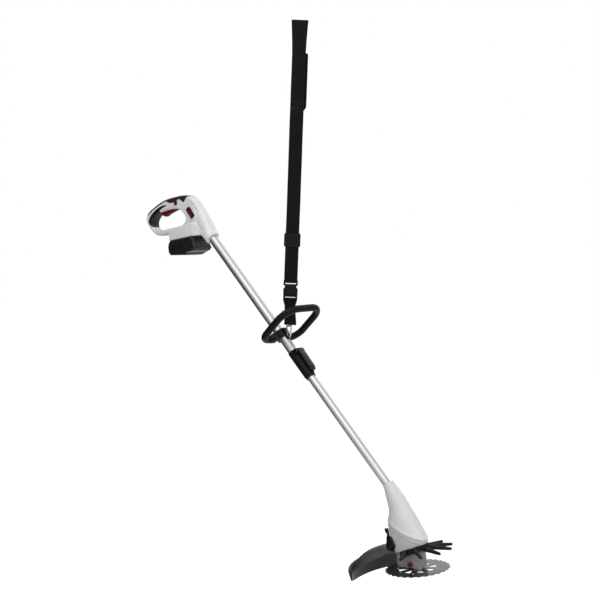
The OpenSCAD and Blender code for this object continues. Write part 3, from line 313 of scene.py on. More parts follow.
# The webbing is 41 mm wide and spreads to 50 mm over its last 95 mm, where it is laid flat.
# Its edges wander by a tenth or two, as worn cloth does, and it is pinched where it turns
# round the bar.
flare_from, flare_long, flare_wide, pinch_under, pinch_deep = 880, 95, 4.6, 202.5, 4.2
flare = flare_wide * np.clip((path_z - flare_from) / flare_long, 0, 1) ** 1.3
sway = 0.15 * np.sin(path_z / 61) + 0.08 * np.sin(path_z / 23 + 1.7)
ring = np.linspace(0, 2 * math.pi, 28, endpoint=False)
edge_x, edge_n = softened(np.cos(ring), 0.22), softened(np.sin(ring), 0.6)
pinch = pinch_deep * np.clip((pinch_under - path_z) / 2.5, 0, 1)
width = webbing_half + flare + 0.06 * np.sin(path_z / 17) - pinch
band_x = sway[:, None] + width[:, None] * edge_x
band_n = webbing_thick / 2 * edge_n * (1 - 0.15 * edge_x ** 6)
webbing = surface("webbing_loop", at_strap(
    band_x, out_y[:, None] * (run_radius + band_n),
    path_z[:, None] + out_z[:, None] * band_n), closed=True)

# Ribs run along the webbing, with yarn that goes over and under across them.
rib_width, pick_length = 0.00135, 0.0024
cloth = Shop("black_webbing")
rib_turn = cloth.along(foot_of_strap, strap_side) * (math.pi / rib_width)
pick_turn = cloth.along(foot_of_strap, (0, 0, 1)) * (2 * math.pi / pick_length)
ribs, yarn = rib_turn.sine().size(), (pick_turn + rib_turn.sine() * 2.2).sine()
cloud, fuzz = cloth.noise(38, 5), cloth.noise(2600, 2)
strap_black = cloth.finish(
    cloth.mix(rgb(0.0036, (1, 0.95, 1.15)), rgb(0.0098, (1, 0.93, 1.12)),
              ribs * 0.45 + cloud * 0.4 + fuzz * 0.2 - 0.02), 0.72 + cloud * 0.15,
    ribs * 0.7 + yarn * 0.22 + fuzz * 0.3, 0.0005, 0.7, Sheen_Weight=0.03,
    Sheen_Roughness=0.5, Specular_IOR_Level=0.06)
dress(webbing, strap_black, "strap", "webbing", "strap_right", "strap_left", "strap_top",
      "strap_foot")

# ---------------------------------------------------------------- shoulder pad
# A flat foam pad, 48 by 175 mm and 6 mm thick, sewn to the webbing's far side. Its lower
# corners are cut off, its edge is bound, and a row of stitches runs inside the binding.
pad_top, pad_foot, pad_half, pad_shift, pad_corner, pad_lift = 884, 709, 24, 4, 12.7, 8.6
pad_corners = [(-pad_half, pad_top), (-pad_half, pad_foot + pad_corner),
               (-pad_half + pad_corner, pad_foot), (pad_half - pad_corner, pad_foot),
               (pad_half, pad_foot + pad_corner), (pad_half, pad_top)]


def rounded_outline(corners, radius, count):
    """A closed outline with straight sides whose corners are cut short by a radius and
    bridged by a curve that is quadratic in its parameter."""
    corners = np.asarray(corners, float)
    before, after = np.roll(corners, 1, 0) - corners, np.roll(corners, -1, 0) - corners
    before_size, after_size = (np.linalg.norm(way, axis=1)[:, None] for way in (before, after))
    short = np.minimum(radius, 0.45 * np.minimum(before_size, after_size))
    start = corners + before / before_size * short
    end = corners + after / after_size * short
    t = np.linspace(0, 1, 8)[:, None, None]
    bends = (1 - t) ** 2 * start + 2 * t * (1 - t) * corners + t ** 2 * end
    loose = bends.transpose(1, 0, 2).reshape(-1, 2)
    gaps = np.linalg.norm(np.roll(loose, -1, 0) - loose, axis=1)
    way = np.concatenate([[0], np.cumsum(gaps)])
    even = np.linspace(0, way[-1], count, endpoint=False)
    around = np.vstack([loose, loose[:1]])
    return np.stack([np.interp(even, way, around[:, k]) for k in range(2)], 1)


# From the middle to the edge the pad is crowned, then sunk at the stitches, then bound.
pad_outline = rounded_outline(pad_corners, 7, 220)
pad_middle = (pad_top + pad_foot) / 2
stitch_at, binding_at, binding_half = 0.885, 0.93, 2.45
share = np.concatenate([np.linspace(0, 0.78, 14), np.linspace(0.8, 0.97, 18),
                        0.97 + 0.03 * np.sin(np.linspace(0.2, math.pi / 2, 7))])
swell = 2.2 + 0.8 * (1 - share ** 4) - 0.5 * np.exp(-((share - stitch_at) / 0.012) ** 2)
bound = share > binding_at
swell[bound] = binding_half * np.sqrt(1 - ((share[bound] - binding_at) / 0.0701) ** 2)
share, swell = np.concatenate([share, share[-2::-1]]), np.concatenate([swell, -swell[-2::-1]])
pad_x = share[:, None] * pad_outline[:, 0] + pad_shift
pad_z = pad_middle + share[:, None] * (pad_outline[:, 1] - pad_middle)
pad = surface("foam_pad", at_strap(pad_x, pad_lift + swell[:, None] + 0 * pad_x, pad_z))
pad_cloth = Shop("pad_cloth")
weave = ((pad_cloth.along(foot_of_strap, strap_side) * 3300).sine()
         * (pad_cloth.along(foot_of_strap, (0, 0, 1)) * 3300).sine())
cloud = pad_cloth.noise(60, 4)
pad_cloth.finish(
    pad_cloth.mix(rgb(0.003), rgb(0.010, (1, 0.95, 1.12)), weave * 0.3 + cloud * 0.7),
    0.85, weave + cloud * 0.5, 0.0005, 0.6, Sheen_Weight=0.02, Specular_IOR_Level=0.06)
dress(pad, pad_cloth.material, "strap", "pad_foam", "shoulder_pad")

# ---------------------------------------------------------------- tail of the strap
# A short doubled piece of the same webbing goes round a bar of the buckle's plug and is
# sewn into a thick hem at its foot, where the carrying hook's stem turns in an eyelet.
tail_foot, hem_top, bar_height, bar_wrap = 63, 77, 142.6, 4.85
hem_half, tail_half = 5.3, 2.6
tail_z = np.concatenate([[tail_foot, tail_foot + 0.6], np.linspace(64.4, 75, 8),
                         np.linspace(76, 78.6, 5), np.linspace(80, 138, 30),
                         bar_height + bar_wrap * np.sin(np.linspace(-1.2, 1.5, 16))])
tail_width = np.interp(tail_z, [63, 77, 113, 134, 150], [18.8, 18.2, 16.6, 16.3, 15.5])
tail_sway = 2.6 * np.clip((118 - tail_z) / 45, 0, 1)
tail_deep = np.where(tail_z < hem_top, hem_half, tail_half)
tail_deep[(tail_z > hem_top - 0.5) & (tail_z < hem_top + 2)] = (hem_half + tail_half) / 2 - 0.05
on_bar = np.abs(tail_z - bar_height) < bar_wrap
round_bar = np.sqrt(np.maximum(bar_wrap ** 2 - (tail_z - bar_height) ** 2, 0.4))
tail_deep = np.where(on_bar, round_bar, tail_deep)
tail_deep = np.where(tail_z < bar_height, np.maximum(tail_deep, tail_half), tail_deep)
tail_deep[0] -= 0.8
tail_width[0] -= 0.8
tail_x = tail_width[:, None] * edge_x + tail_sway[:, None]
tail_y = tail_deep[:, None] * edge_n
tail = surface("strap_tail_webbing", at_strap(tail_x, tail_y, tail_z[:, None] + 0 * tail_x),
               sharp=50)
dress(tail, strap_black, "plug", "webbing", "strap_tail")

thread = Shop("sewing_thread")
thread_dark = thread.finish(rgb(0.05), 0.6, thread.noise(3000), 0.0002)


def stitches(name, starts, run, lift, thick):
    """Stitches on the strap: each one is a bead that swells and closes along its run."""
    along, turn = np.linspace(0, 1, 6), np.linspace(0, 2 * math.pi, 6, endpoint=False)
    fat = thick * np.sqrt(np.maximum(1 - (2 * along - 1) ** 2, 0.02))[:, None]
    run = np.broadcast_to(run, starts.shape)
    core = starts[:, None] + run[:, None] * along[None, :, None]
    side = (np.stack([-run[:, 1], run[:, 0]], 1)
            / np.linalg.norm(run, axis=1)[:, None])[:, None, None]
    x = core[..., :1] + side[..., 0] * fat * np.cos(turn)
    z = core[..., 1:] + side[..., 1] * fat * np.cos(turn)
    faces = [face for k in range(len(starts)) for face in grid_faces(6, 6, first=36 * k)]
    return wrap_up(name, at_strap(x, lift + fat * np.sin(turn) + 0 * x, z), faces, 60)


def row_at(x, z):
    """A row of places on the strap, at one height or at a height for each."""
    return np.stack([x, z + 0 * x], 1)


# Two rows of thread hold the hem on each face. Two rows with a slanting one between them
# hold the pad's foot.
stitch_x = np.arange(-13.2, 17.8, 2.6)
hem_starts = np.vstack([row_at(stitch_x, 66.0), row_at(stitch_x + 0.8, 73.6)])
for side_name, side in (("near", -1), ("far", 1)):
    seam = stitches("hem_stitches_" + side_name, hem_starts, (1.9, 0), side * hem_half, 0.35)
    dress(seam, thread_dark, "plug", "webbing")
box_half, box_foot, box_tall = 17.5, pad_foot + 9, 20
box_x = np.arange(-box_half, box_half + 0.1, 2.8)
slant = box_foot + box_tall * (box_x / box_half + 1) / 2
box_starts = np.vstack([row_at(box_x, box_foot), row_at(box_x, box_foot + box_tall),
                        row_at(box_x, slant)])
box_runs = np.repeat([(2, 0), (2, 0), (2, box_tall / box_half)], len(box_x), axis=0)
dress(stitches("pad_stitches", box_starts, box_runs, -5.25, 0.32), thread_dark, "strap",
      "webbing")

# ---------------------------------------------------------------- buckle, slider and ring
# Black nylon mouldings with a fine spark-eroded surface, dull and a little scuffed, a
# side-release buckle, and a small bent ring of plated wire at the tail's edge.


def moulded(name, colour, rough=0.5, grain=1700, depth=0.00012, tint=(1, 1, 1.02),
            scuffs=0.3, gloss=0.5):
    """Moulded plastic: a fine grain, faint flow clouds and paler scuffs here and there."""
    shop = Shop(name)
    fine, flow = shop.noise(grain, 2), shop.noise(26, 4)
    marks = ((shop.noise(210, 6, 0.7) - 0.62) * 4 * scuffs).most(0.0)
    shade = shop.mix(rgb(colour * 0.86, tint), rgb(colour * 1.12, tint), flow)
    shade = shop.mix(shade, rgb(min(colour * 1.6 + 0.012, 0.9), tint), marks)
    return shop.finish(shade, rough - 0.06 + flow * 0.12 + marks * 0.2, fine, depth, 0.45,
                       Specular_IOR_Level=gloss)


def mottled(name, dark, light, scale, detail, rough, spread, grain, depth, strength,
            metal=0.0, dark_tint=(1, 1, 1), light_tint=(1, 1, 1)):
    """A finish that wanders between two colours in soft clouds, and in gloss with them."""
    shop = Shop(name)
    cloud = shop.noise(scale, detail)
    return shop.finish(shop.mix(rgb(dark, dark_tint), rgb(light, light_tint), cloud),
                       rough + cloud * spread, shop.noise(*grain), depth, strength, metal)


def coat(material, *nodes):
    """Gives pieces that stay as they are built their finish."""
    for node in nodes:
        for slot in frame["nodes"][node].material_slots:
            slot.material = material


black_nylon = moulded("black_nylon", 0.007, 0.40, gloss=0.10)
coat(black_nylon, "strap_slider")


def slab(name, outline, half, edge, place, steps=6):
    """A flat piece with round edges: its outline, drawn in by a quarter circle as it turns
    over each rim, is carried from one face to the other."""
    outline = np.asarray(outline, float)
    area = np.cross(outline, np.roll(outline, -1, 0)).sum()
    quarter = np.linspace(0, math.pi / 2, steps)
    sink = half - edge * (1 - np.cos(quarter))
    inward = edge * (1 - np.sin(quarter))
    depth, inward = np.append(-sink, sink[::-1]), np.append(inward, inward[::-1])
    run = np.roll(outline, -1, 0) - np.roll(outline, 1, 0)
    run /= np.linalg.norm(run, axis=1)[:, None] * np.sign(area)
    normal = np.stack([-run[:, 1], run[:, 0]], 1)
    flat = outline[None] + inward[:, None, None] * normal[None]
    return surface(name, place(flat[..., 0], np.broadcast_to(depth[:, None], flat.shape[:2]),
                               flat[..., 1]), sharp=50)


def solid_of(piece):
    """The mesh of a piece with its modifiers applied."""
    return bpy.data.meshes.new_from_object(
        piece.evaluated_get(bpy.context.evaluated_depsgraph_get()))


def baked(piece):
    """Applies the modifiers of a piece."""
    solid = solid_of(piece)
    piece.modifiers.clear()
    piece.data = solid
    smoothed(solid)


def merged(piece, operation, *others):
    """Adds other pieces to a piece, or cuts them out of it, and removes them."""
    for other in others:
        step = piece.modifiers.new("step", "BOOLEAN")
        step.operation, step.solver, step.object = operation, "EXACT", other
    baked(piece)
    for other in others:
        bpy.data.objects.remove(other)


def both_sides(half_outline):
    """An outline that is the same on the left as on the right, from its right half."""
    right = np.asarray(half_outline, float)
    return np.vstack([right, right[::-1] * (-1, 1)])


def bar_of(name, low_x, high_x, low_z, high_z, half, edge, corner=1.0):
    """A small rounded bar between two widths and two heights of the strap."""
    return slab(name, rounded_outline([(low_x, low_z), (high_x, low_z), (high_x, high_z),
                                       (low_x, high_z)], corner, 60), half, edge, at_strap, 5)


# The socket has a waist under the bar's frame and is hollow for the prongs, with a window
# in each flank through which they are squeezed. The plug's frame narrows to the webbing.
socket_side = both_sides([(22, 155), (22.3, 172), (20.6, 176.5), (17.6, 179), (16.7, 181),
                          (18.4, 183.4), (21.4, 185.4), (22.2, 188), (22.2, 198.5),
                          (20.4, 202)])
socket = slab("buckle_frame", rounded_outline(socket_side, 1.6, 260), 6.5, 1.7, at_strap)
merged(socket, "DIFFERENCE", bar_of("slot", -16.5, 16.5, 188.7, 205, 9, 0.4),
       bar_of("hollow", -19.2, 19.2, 140, 180, 4.1, 0.4),
       bar_of("window", -30, 30, 163, 177, 3.9, 0.4, 3))
merged(socket, "UNION", bar_of("bar", -19, 19, 194.1, 199.9, 2.8, 2.2, 2.4))
dress(socket, black_nylon, "strap", "buckle_plastic", "buckle_socket")
plug_side = both_sides([(16.6, 122.4), (20.2, 134.5), (21.7, 140), (21.9, 154.6)])
plug = slab("buckle_tongue", rounded_outline(plug_side, 3.0, 200), 5.4, 1.6, at_strap)
merged(plug, "DIFFERENCE", bar_of("opening", -15.9, 15.9, 110, 149.9, 9, 0.4))
merged(plug, "UNION", bar_of("plug_bar", -18, 18, 140.0, 145.2, 2.4, 2.0, 2.0),
       bar_of("prong_left", -17.8, -12.6, 152, 181, 3.2, 1.0, 2.0),
       bar_of("prong_right", 12.6, 17.8, 152, 181, 3.2, 1.0, 2.0))
dress(plug, black_nylon, "plug", "buckle_plastic", "buckle_plug")
coat(mottled("plated_wire", 0.13, 0.26, 300, 5, 0.22, 0.18, (1500,), 0.00005, 0.3, 1.0,
             light_tint=(1, 1, 0.99)),
     "pull_ring", "snap_hook", "hook_gate", "slider_bar")

# ---------------------------------------------------------------- carrying eye
# A brass ring held in the lug of the clamp on the shaft. The hook's bow runs in it and has
# rubbed it bright.
coat(mottled("rubbed_brass", 0.55, 0.85, 420, 5, 0.25, 0.2, (1800,), 0.00005, 0.3, 1.0,
             (1, 0.78, 0.42), (1, 0.86, 0.58)), "strap_eye")

# ---------------------------------------------------------------- shaft
# Two anodised aluminium tubes, 30 and 25 mm across, one sliding in the other. Drawing has
# left fine lines along them, and the metal is satin, brighter where hands have rubbed it.
tube_metal = Shop("satin_tube")
down, left, out = (tube_metal.along(foot_of_strap, way)
                   for way in (shaft_run, across, shaft_up))
lines = tube_metal.drawn(3.0, down * 9, left * 1400, out * 1400)
tube_tint = (1, 1, 1.01)
tube_metal.finish(tube_metal.mix(rgb(0.40, tube_tint), rgb(0.48, tube_tint),
                                 lines * 0.6 + tube_metal.noise(14, 4) * 0.4),
                  0.35 + lines * 0.14, lines, 0.00003, 0.35, 1.0)
coat(tube_metal.material, "upper_tube", "lower_tube")
coat(moulded("white_bush", 0.75, 0.4), "tube_bush")
coat(moulded("lead_rubber", 0.01, 0.6, gloss=0.25), "motor_lead")

# ---------------------------------------------------------------- loop handle
# A steel rod bent to a loop and sleeved with ribbed rubber, 22 mm across. Its two feet turn
# in the clamp on the shaft. The ribs are rings about 5.2 mm apart with narrow grooves.
loop_hinge = np.array(joints["loop_tilt"]["pos_m"])
loop_lean = math.radians(2.5)
loop_rise = math.sin(loop_lean) * shaft_run + math.cos(loop_lean) * shaft_up
loop_front = np.cross(across, loop_rise)


def arc(middle_y, middle_z, radius, start, end, count):
    """Points on a circle from one angle to another, in degrees."""
    a = np.radians(np.linspace(start, end, count))
    return np.stack([middle_y + radius * np.cos(a), middle_z + radius * np.sin(a)], 1)


loop_width, loop_height, shoulder_bend, foot_bend, grip_foot = 82, 146, 50, 36, 42.3
half_loop = np.vstack([
    [(0, loop_height)],
    arc(loop_width - shoulder_bend, loop_height - shoulder_bend, shoulder_bend, 90, 0, 60),
    arc(loop_width - foot_bend, foot_bend, foot_bend, 0, -90, 44), [(grip_foot, 0)]])
whole_loop = np.vstack([half_loop[::-1], half_loop[1:] * (-1, 1)])
loop_way = np.concatenate([[0], np.cumsum(np.linalg.norm(np.diff(whole_loop, axis=0),
                                                         axis=1))])
sleeve_half, rib_pitch = 11, 5.2
rib_count = int(loop_way[-1] / rib_pitch)
rib_steps = np.array([0.0, 0.10, 0.2, 0.32, 0.5, 0.68, 0.8, 0.9])
rib_depth = np.array([0.75, 0.62, 0.12, 0.02, 0.0, 0.02, 0.12, 0.62])
way = ((np.arange(rib_count)[:, None] + rib_steps) * loop_way[-1] / rib_count).ravel()
way = np.append(way, loop_way[-1])
loop_y = np.interp(way, loop_way, whole_loop[:, 0])
loop_z = np.interp(way, loop_way, whole_loop[:, 1])
slope_y, slope_z = np.gradient(loop_y), np.gradient(loop_z)
slope = np.hypot(slope_y, slope_z)
sleeve_radius = sleeve_half - np.append(np.tile(rib_depth, rib_count), 0.75)
sleeve_radius[:2], sleeve_radius[-2:] = (9.2, 10.6), (10.6, 9.2)
turn = np.linspace(0, 2 * math.pi, 40, endpoint=False)
sleeve_y = loop_y[:, None] + (slope_z / slope * sleeve_radius)[:, None] * np.cos(turn)
sleeve_z = loop_z[:, None] - (slope_y / slope * sleeve_radius)[:, None] * np.cos(turn)
sleeve_x = sleeve_radius[:, None] * np.sin(turn)
sleeve = surface("ribbed_sleeve", placed(loop_hinge, loop_front, across, loop_rise,
                                         sleeve_x, sleeve_y, sleeve_z), sharp=60)
rubber = Shop("ribbed_rubber")
bloom, pores = rubber.noise(45, 5), rubber.noise(2300, 2)
rubber.finish(rubber.mix(rgb(0.002), rgb(0.005, (1, 1, 1.06)), bloom * 0.7 + pores * 0.3),
              0.16 + bloom * 0.14, pores, 0.0002, 0.5, Specular_IOR_Level=0.09)
dress(sleeve, rubber.material, "loop", "grip_rubber", "loop_grip")
coat(moulded("painted_rod", 0.012, 0.4, 900, gloss=0.35), "loop_handle")

# The clamp's two halves are glass-filled nylon, held by four socket screws of zinc-plated
# steel with a turned finish.
filled_nylon = moulded("filled_nylon", 0.006, 0.38, 1400, 0.0002, gloss=0.10)
coat(filled_nylon, "clamp_bracket", "clamp_cap")
turned_steel = mottled("turned_steel", 0.26, 0.46, 900, 4, 0.3, 0.15, (900, 4), 0.00004, 0.3,
                       1.0)
coat(turned_steel, "clamp_screws", "handle_screws", "head_screws", "guard_screws",
     "lock_pin")

# ---------------------------------------------------------------- telescopic lock
# A black moulded sleeve with a folding lever that squeezes the lower tube. The lever's
# back is a softer, greyer plastic with its edges rounded over, and shows more wear.
coat(filled_nylon, "lock_sleeve", "lock_collar")
lever_grey = moulded("lever_plastic", 0.007, 0.24, 1500, 0.00015, scuffs=0.5, gloss=0.22)
lever_hinge = np.array(joints["lock_lever_hinge"]["pos_m"])
lever_side = rounded_outline([(-6.3, -6), (-6.3, 5), (-2, 6.2), (20, 6.2), (66, 4.4),
                              (77, -0.4), (73.5, -1.9), (10, -1.9), (6, -6)], 4, 120)
# x down the shaft from the lever's hinge, y to the user's left, z off the shaft.
at_lever = partial(placed, lever_hinge, shaft_run, across, shaft_up)
lever = slab("lever_cover", lever_side, 11.95, 2.2, at_lever)
lever_ridge = rounded_outline([(14, 3), (14, 6.9), (22, 6.9), (58, 5.4), (58, 2)], 1.2, 60)
merged(lever, "UNION", slab("thumb_ridge", lever_ridge, 7.4, 1.4, at_lever))
dress(lever, lever_grey, "lever", "black_plastic", "lock_lever")

# ---------------------------------------------------------------- rear handle
# Two injection-moulded shells in white, screwed together on the centre plane: a D-shaped
# grip, the column that swallows the tube, and the dock that the battery slides into.
# In its frame x is forward along the battery's slide, y to the left and z up.
slide_run = -np.array(joints["battery_slide"]["axis"])
slide_up = np.cross(slide_run, across)
slide_ways = np.stack([slide_run, across, slide_up]).T
lean_cos, lean_sin = float(shaft_run @ slide_run), float(-shaft_run @ slide_up)
socket_at, socket_radius = 470, 24
handle_socket = foot_of_strap - socket_at * mm * shaft_run
at_handle = partial(placed, handle_socket, slide_run, across, slide_up)


def even_spline(keys, at):
    """A smooth curve through rows of numbers: cubic, with slopes from the neighbours."""
    keys = np.asarray(keys, float)
    x, y = keys[:, 0], keys[:, 1:]
    slopes = np.gradient(y, x, axis=0)
    k = np.clip(np.searchsorted(x, at) - 1, 0, len(x) - 2)
    span = (x[k + 1] - x[k])[:, None]
    t = (np.asarray(at) - x[k])[:, None] / span
    return ((2 * t ** 3 - 3 * t ** 2 + 1) * y[k] + (t ** 3 - 2 * t ** 2 + t) * span * slopes[k]
            + (3 * t ** 2 - 2 * t ** 3) * y[k + 1] + (t ** 3 - t ** 2) * span * slopes[k + 1])


def smooth_ring(points, count):
    """A closed curve through the points, cubic between two of them."""
    way = np.arange(-1, len(points) + 2)
    keys = np.column_stack([way, np.take(points, way, axis=0, mode="wrap")])
    return even_spline(keys, np.linspace(0, len(points), count, endpoint=False))


handle_points = [(-44, 50), (-24, 72), (-33, 104), (-64, 147), (-106, 162), (-160, 165),
                 (-214, 162), (-272, 146), (-305, 129), (-314, 104), (-292, 69), (-266, 49),
                 (-228, 44), (-150, 44), (-90, 44)]
opening_points = [(-260, 65), (-180, 63), (-128, 65), (-107, 84), (-128, 114), (-170, 126),
                  (-250, 121), (-283, 92)]
grip_half, edge_round, rim_round = 18, 11, 7
handle_outline = smooth_ring(handle_points, 900)
opening_outline = smooth_ring(opening_points, 900)
opening_middle = np.array([-182.0, 94.0])


def reach_at(outline, middle, angles):
    """How far a closed outline lies from its middle, at each angle."""
    away = outline - middle
    bearing = np.arctan2(away[:, 1], away[:, 0])
    order = np.argsort(bearing)
    return np.interp(angles, bearing[order], np.hypot(*away.T)[order],
                     period=2 * math.pi)


# The grip's ring: at each bearing from the opening's middle, one closed section that goes
# over the opening's rounded rim, across the flat cheek and over the outer edge.
bearings = np.linspace(-math.pi, math.pi, 520, endpoint=False)
inner = reach_at(opening_outline, opening_middle, bearings)[:, None]
outer = reach_at(handle_outline, opening_middle, bearings)[:, None]
bend = np.linspace(0, math.pi / 2, 9)
fall, drop = 1 - np.cos(bend), 1 - np.sin(bend)
section_out = np.append(rim_round * fall, -edge_round * fall[::-1])
section_y = grip_half - np.append(rim_round * drop, edge_round * drop[::-1])
section_out = np.append(section_out, section_out[::-1])
section_y = np.append(section_y, -section_y[::-1])
on_outer = np.repeat([0, 1, 0], [bend.size, 2 * bend.size, bend.size])
ring_reach = inner * (1 - on_outer) + outer * on_outer + section_out
ring_x = opening_middle[0] + ring_reach * np.cos(bearings)[:, None]
ring_z = opening_middle[1] + ring_reach * np.sin(bearings)[:, None]
grip_ring = surface("grip_ring", at_handle(ring_x, section_y + 0 * ring_x, ring_z),
                    closed=True)

# The column: distance up the shaft, low edge, high edge and half width in socket radii,
# and how far its section departs from a circle.
column_keys = [(0, -1, 1, 1, 1), (16, -1, 1, 1, 1), (35, -1.02, 1.19, 1, 0.8),
               (65, -1.2, 1.46, 0.98, 0.8), (98, -1.37, 1.62, 0.92, 0.8),
               (128, -1.25, 1.66, 0.76, 0.8), (148, -1, 1.42, 0.5, 0.8)]
climb = np.linspace(0, column_keys[-1][0], 90)
low, high, wide, power = (value[:, None] for value in even_spline(column_keys, climb).T)
sweep = np.linspace(0, 2 * math.pi, 72, endpoint=False)
lip = socket_radius - np.where(climb < 1.5, 0.8, 0)[:, None]
column_z = lip * ((low + high) / 2 + (high - low) / 2 * softened(np.cos(sweep), power))
column_y = lip * wide * softened(np.sin(sweep), power)
column = surface("column", placed(handle_socket, -shaft_run, across, shaft_up,
                                  climb[:, None] + 0 * column_y, column_y, column_z))

# The dock: sections from rear to front with rounded shoulders.
dock_at, dock_high, dock_half = np.transpose([
    (-183, 50.2, 31.5), (-181.5, 51, 32.1), (-178, 54, 35), (-92, 62, 35), (-62, 64, 31.5),
    (-34, 57, 21.6), (-32, 56, 20.4)])
dock_x = np.concatenate([np.linspace(-183, -178, 5), np.linspace(-174, -34, 50), [-32]])
dock_top, dock_wide = (np.interp(dock_x, dock_at, value)[:, None]
                       for value in (dock_high, dock_half))
dock_floor, dock_edge = 18, 6
corner = np.linspace(0, math.pi / 2, 8)
fall, drop = dock_edge * (1 - np.cos(corner)), dock_edge * (1 - np.sin(corner))
shape_y = np.repeat([1, -1], corner.size + 2)
corner_y = np.concatenate([[0, 0], -fall, fall[::-1], [0, 0]])
corner_z = -np.concatenate([[0, 0], drop, drop[::-1], [0, 0]])
on_top = np.concatenate([[0, 0.5], np.ones(16), [0.5, 0]])
dock_y = shape_y * dock_wide + corner_y
dock_z = dock_floor * (1 - on_top) + dock_top * on_top + corner_z
dock = surface("dock", at_handle(dock_x[:, None] + 0 * dock_y, dock_y, dock_z))

# The three flow into each other in one moulding: they are joined, skinned with an even
# mesh and smoothed, so that every inner corner gets a fillet.
grid_step = 0.0015
joined = bmesh.new()
for part in (grip_ring, column, dock):
    joined.from_mesh(part.data)
for part in (column, dock):
    bpy.data.objects.remove(part)
joined.to_mesh(grip_ring.data)
joined.free()
skin = grip_ring.modifiers.new("skin", "REMESH")
skin.mode, skin.voxel_size = "VOXEL", grid_step
relax = grip_ring.modifiers.new("relax", "SMOOTH")
relax.factor, relax.iterations = 0.5, 7
shell_mesh = solid_of(grip_ring)
bpy.data.objects.remove(grip_ring)


def numbers(collection, key, wide):
    """One value of every item in a collection, as an array with some columns."""
    flat = np.empty(len(collection) * wide, int if key == "vertices" else float)
    collection.foreach_get(key, flat)
    return flat.reshape(-1, wide)


def from_shaft(points):
    """Places given down the shaft and square to it, turned into the handle's x and z."""
    down, up = np.asarray(points, float).T
    down = down + socket_at
    return np.stack([down * lean_cos + up * lean_sin, up * lean_cos - down * lean_sin], 1)


def nearest(path, x, z):
    """How far points lie from the nearest side of a path, in millimetres."""
    gap = np.full(len(x), 1e6)
    for (ax, az), (bx, bz) in zip(path, path[1:]):
        way_x, way_z = bx - ax, bz - az
        t = np.clip(((x - ax) * way_x + (z - az) * way_z) / (way_x ** 2 + way_z ** 2), 0, 1)
        gap = np.minimum(gap, np.hypot(x - ax - t * way_x, z - az - t * way_z))
    return gap


def beyond(outline, x, z):
    """How far points lie outside a closed outline, and less than nothing within it: the
    distance, with its sign from the count of sides crossed on the way to the right."""
    crossed = np.zeros(len(x), int)
    for (ax, az), (bx, bz) in zip(outline, np.roll(outline, -1, 0)):
        crossed += ((az > z) != (bz > z)) & (x < ax + (z - az) / (bz - az or 1e-9)
                                             * (bx - ax))
    gap = nearest(np.vstack([outline, outline[:1]]), x, z)
    return np.where(crossed % 2 == 1, -gap, gap)


def part_skin(points, corners, gap):
    """Cuts a skin of triangles where gap, a number at each point, passes through nothing.
    A crossed triangle becomes a tip and a four-sided rest, which is split in two. Gives
    the points, the triangles with gap below nothing, and the others."""
    over = gap > 0
    count = over[corners].sum(1)
    cut = corners[(count == 1) | (count == 2)]
    lone = np.argmax(over[cut] == (over[cut].sum(1) == 1)[:, None], axis=1)
    a, b, c = (cut[np.arange(len(cut)), (lone + k) % 3] for k in range(3))
    ends = np.stack([b, c])
    keys, at = np.unique(np.minimum(a, ends) * len(points) + np.maximum(a, ends),
                         return_inverse=True)
    at = at.reshape(2, -1) + len(points)
    low, high = keys // len(points), keys % len(points)
    part = (gap[low] / (gap[low] - gap[high]))[:, None]
    tip = np.stack([a, at[0], at[1]], 1)
    rest = np.vstack([np.stack([at[0], b, c], 1), np.stack([at[0], c, at[1]], 1)])
    tip_over = over[a]
    rest_over = np.tile(~tip_over, 2)
    return (np.vstack([points, points[low] * (1 - part) + points[high] * part]),
            np.vstack([corners[count == 0], tip[~tip_over], rest[~rest_over]]),
            np.vstack([corners[count == 3], tip[tip_over], rest[rest_over]]))


# Creases pressed into the cheeks: beside the column's bulge, round the opening's front and
# along the foot of the grip, each a soft valley square to the skin.
shell_mesh.calc_loop_triangles()
shell_corners = numbers(shell_mesh.loop_triangles, "vertices", 3)
shell_points = numbers(shell_mesh.vertices, "co", 3)
shell_out = numbers(shell_mesh.vertex_normals, "vector", 3)


def in_handle(points):
    """The x, y and z of points in the handle's frame, in millimetres."""
    return ((points - handle_socket) @ slide_ways / mm).T


creases = [(from_shaft([(-606, 27), (-585, 25), (-570, 21), (-556, 8), (-540, 0), (-512, -5),
                        (-478, -9)]), 1.9, 4.4),
           ([(-136, 133), (-114, 120), (-96, 100), (-88, 82), (-92, 66)], 1.7, 0.8),
           ([(-84, 142), (-70, 128), (-56, 112)], 2.0, 0.7)]
cheek_x, _, cheek_z = in_handle(shell_points)
sunk = sum(deep * np.exp(-(nearest(path, cheek_x, cheek_z) / wide) ** 2)
           for path, wide, deep in creases) * np.abs(shell_out @ across)
shell_points = shell_points - shell_out * (sunk * mm)[:, None]

# The rubber of the top grip ends in a zigzag and runs to the rear as a thin line along the
# ridge. The rear grip is a crescent on the inside of the arm, with a glossy black border.
top_grip_cut = np.array([(-58, 166), (-70, 158), (-88, 152.5), (-97, 146), (-105, 138),
                         (-115, 145), (-127, 153.5), (-141, 150), (-151, 153), (-159, 146.5),
                         (-170, 146.5), (-181, 149), (-190, 154), (-198, 156.5),
                         (-211, 154.5), (-228, 150), (-259, 141.5), (-284, 131),
                         (-303, 121),
                         (-330, 190), (-60, 190)])
border_cut = smooth_ring([(-197, 144), (-222, 144), (-245, 138.5), (-268, 129), (-287, 117),
                          (-296.5, 104), (-293, 91), (-281, 80), (-276, 81), (-285, 92),
                          (-287.5, 103), (-279, 112), (-260, 122.5), (-238, 131),
                          (-219, 137), (-200, 140.5)], 110)
rear_grip_cut = np.vstack([border_cut[(border_cut[:, 0] < -221) & (np.arange(110) > 55)],
                           [(-221, 135), (-234, 130), (-231, 121), (-227, 113), (-214, 100),
                            (-225, 74), (-240, 73), (-266, 77), (-276, 80)]])
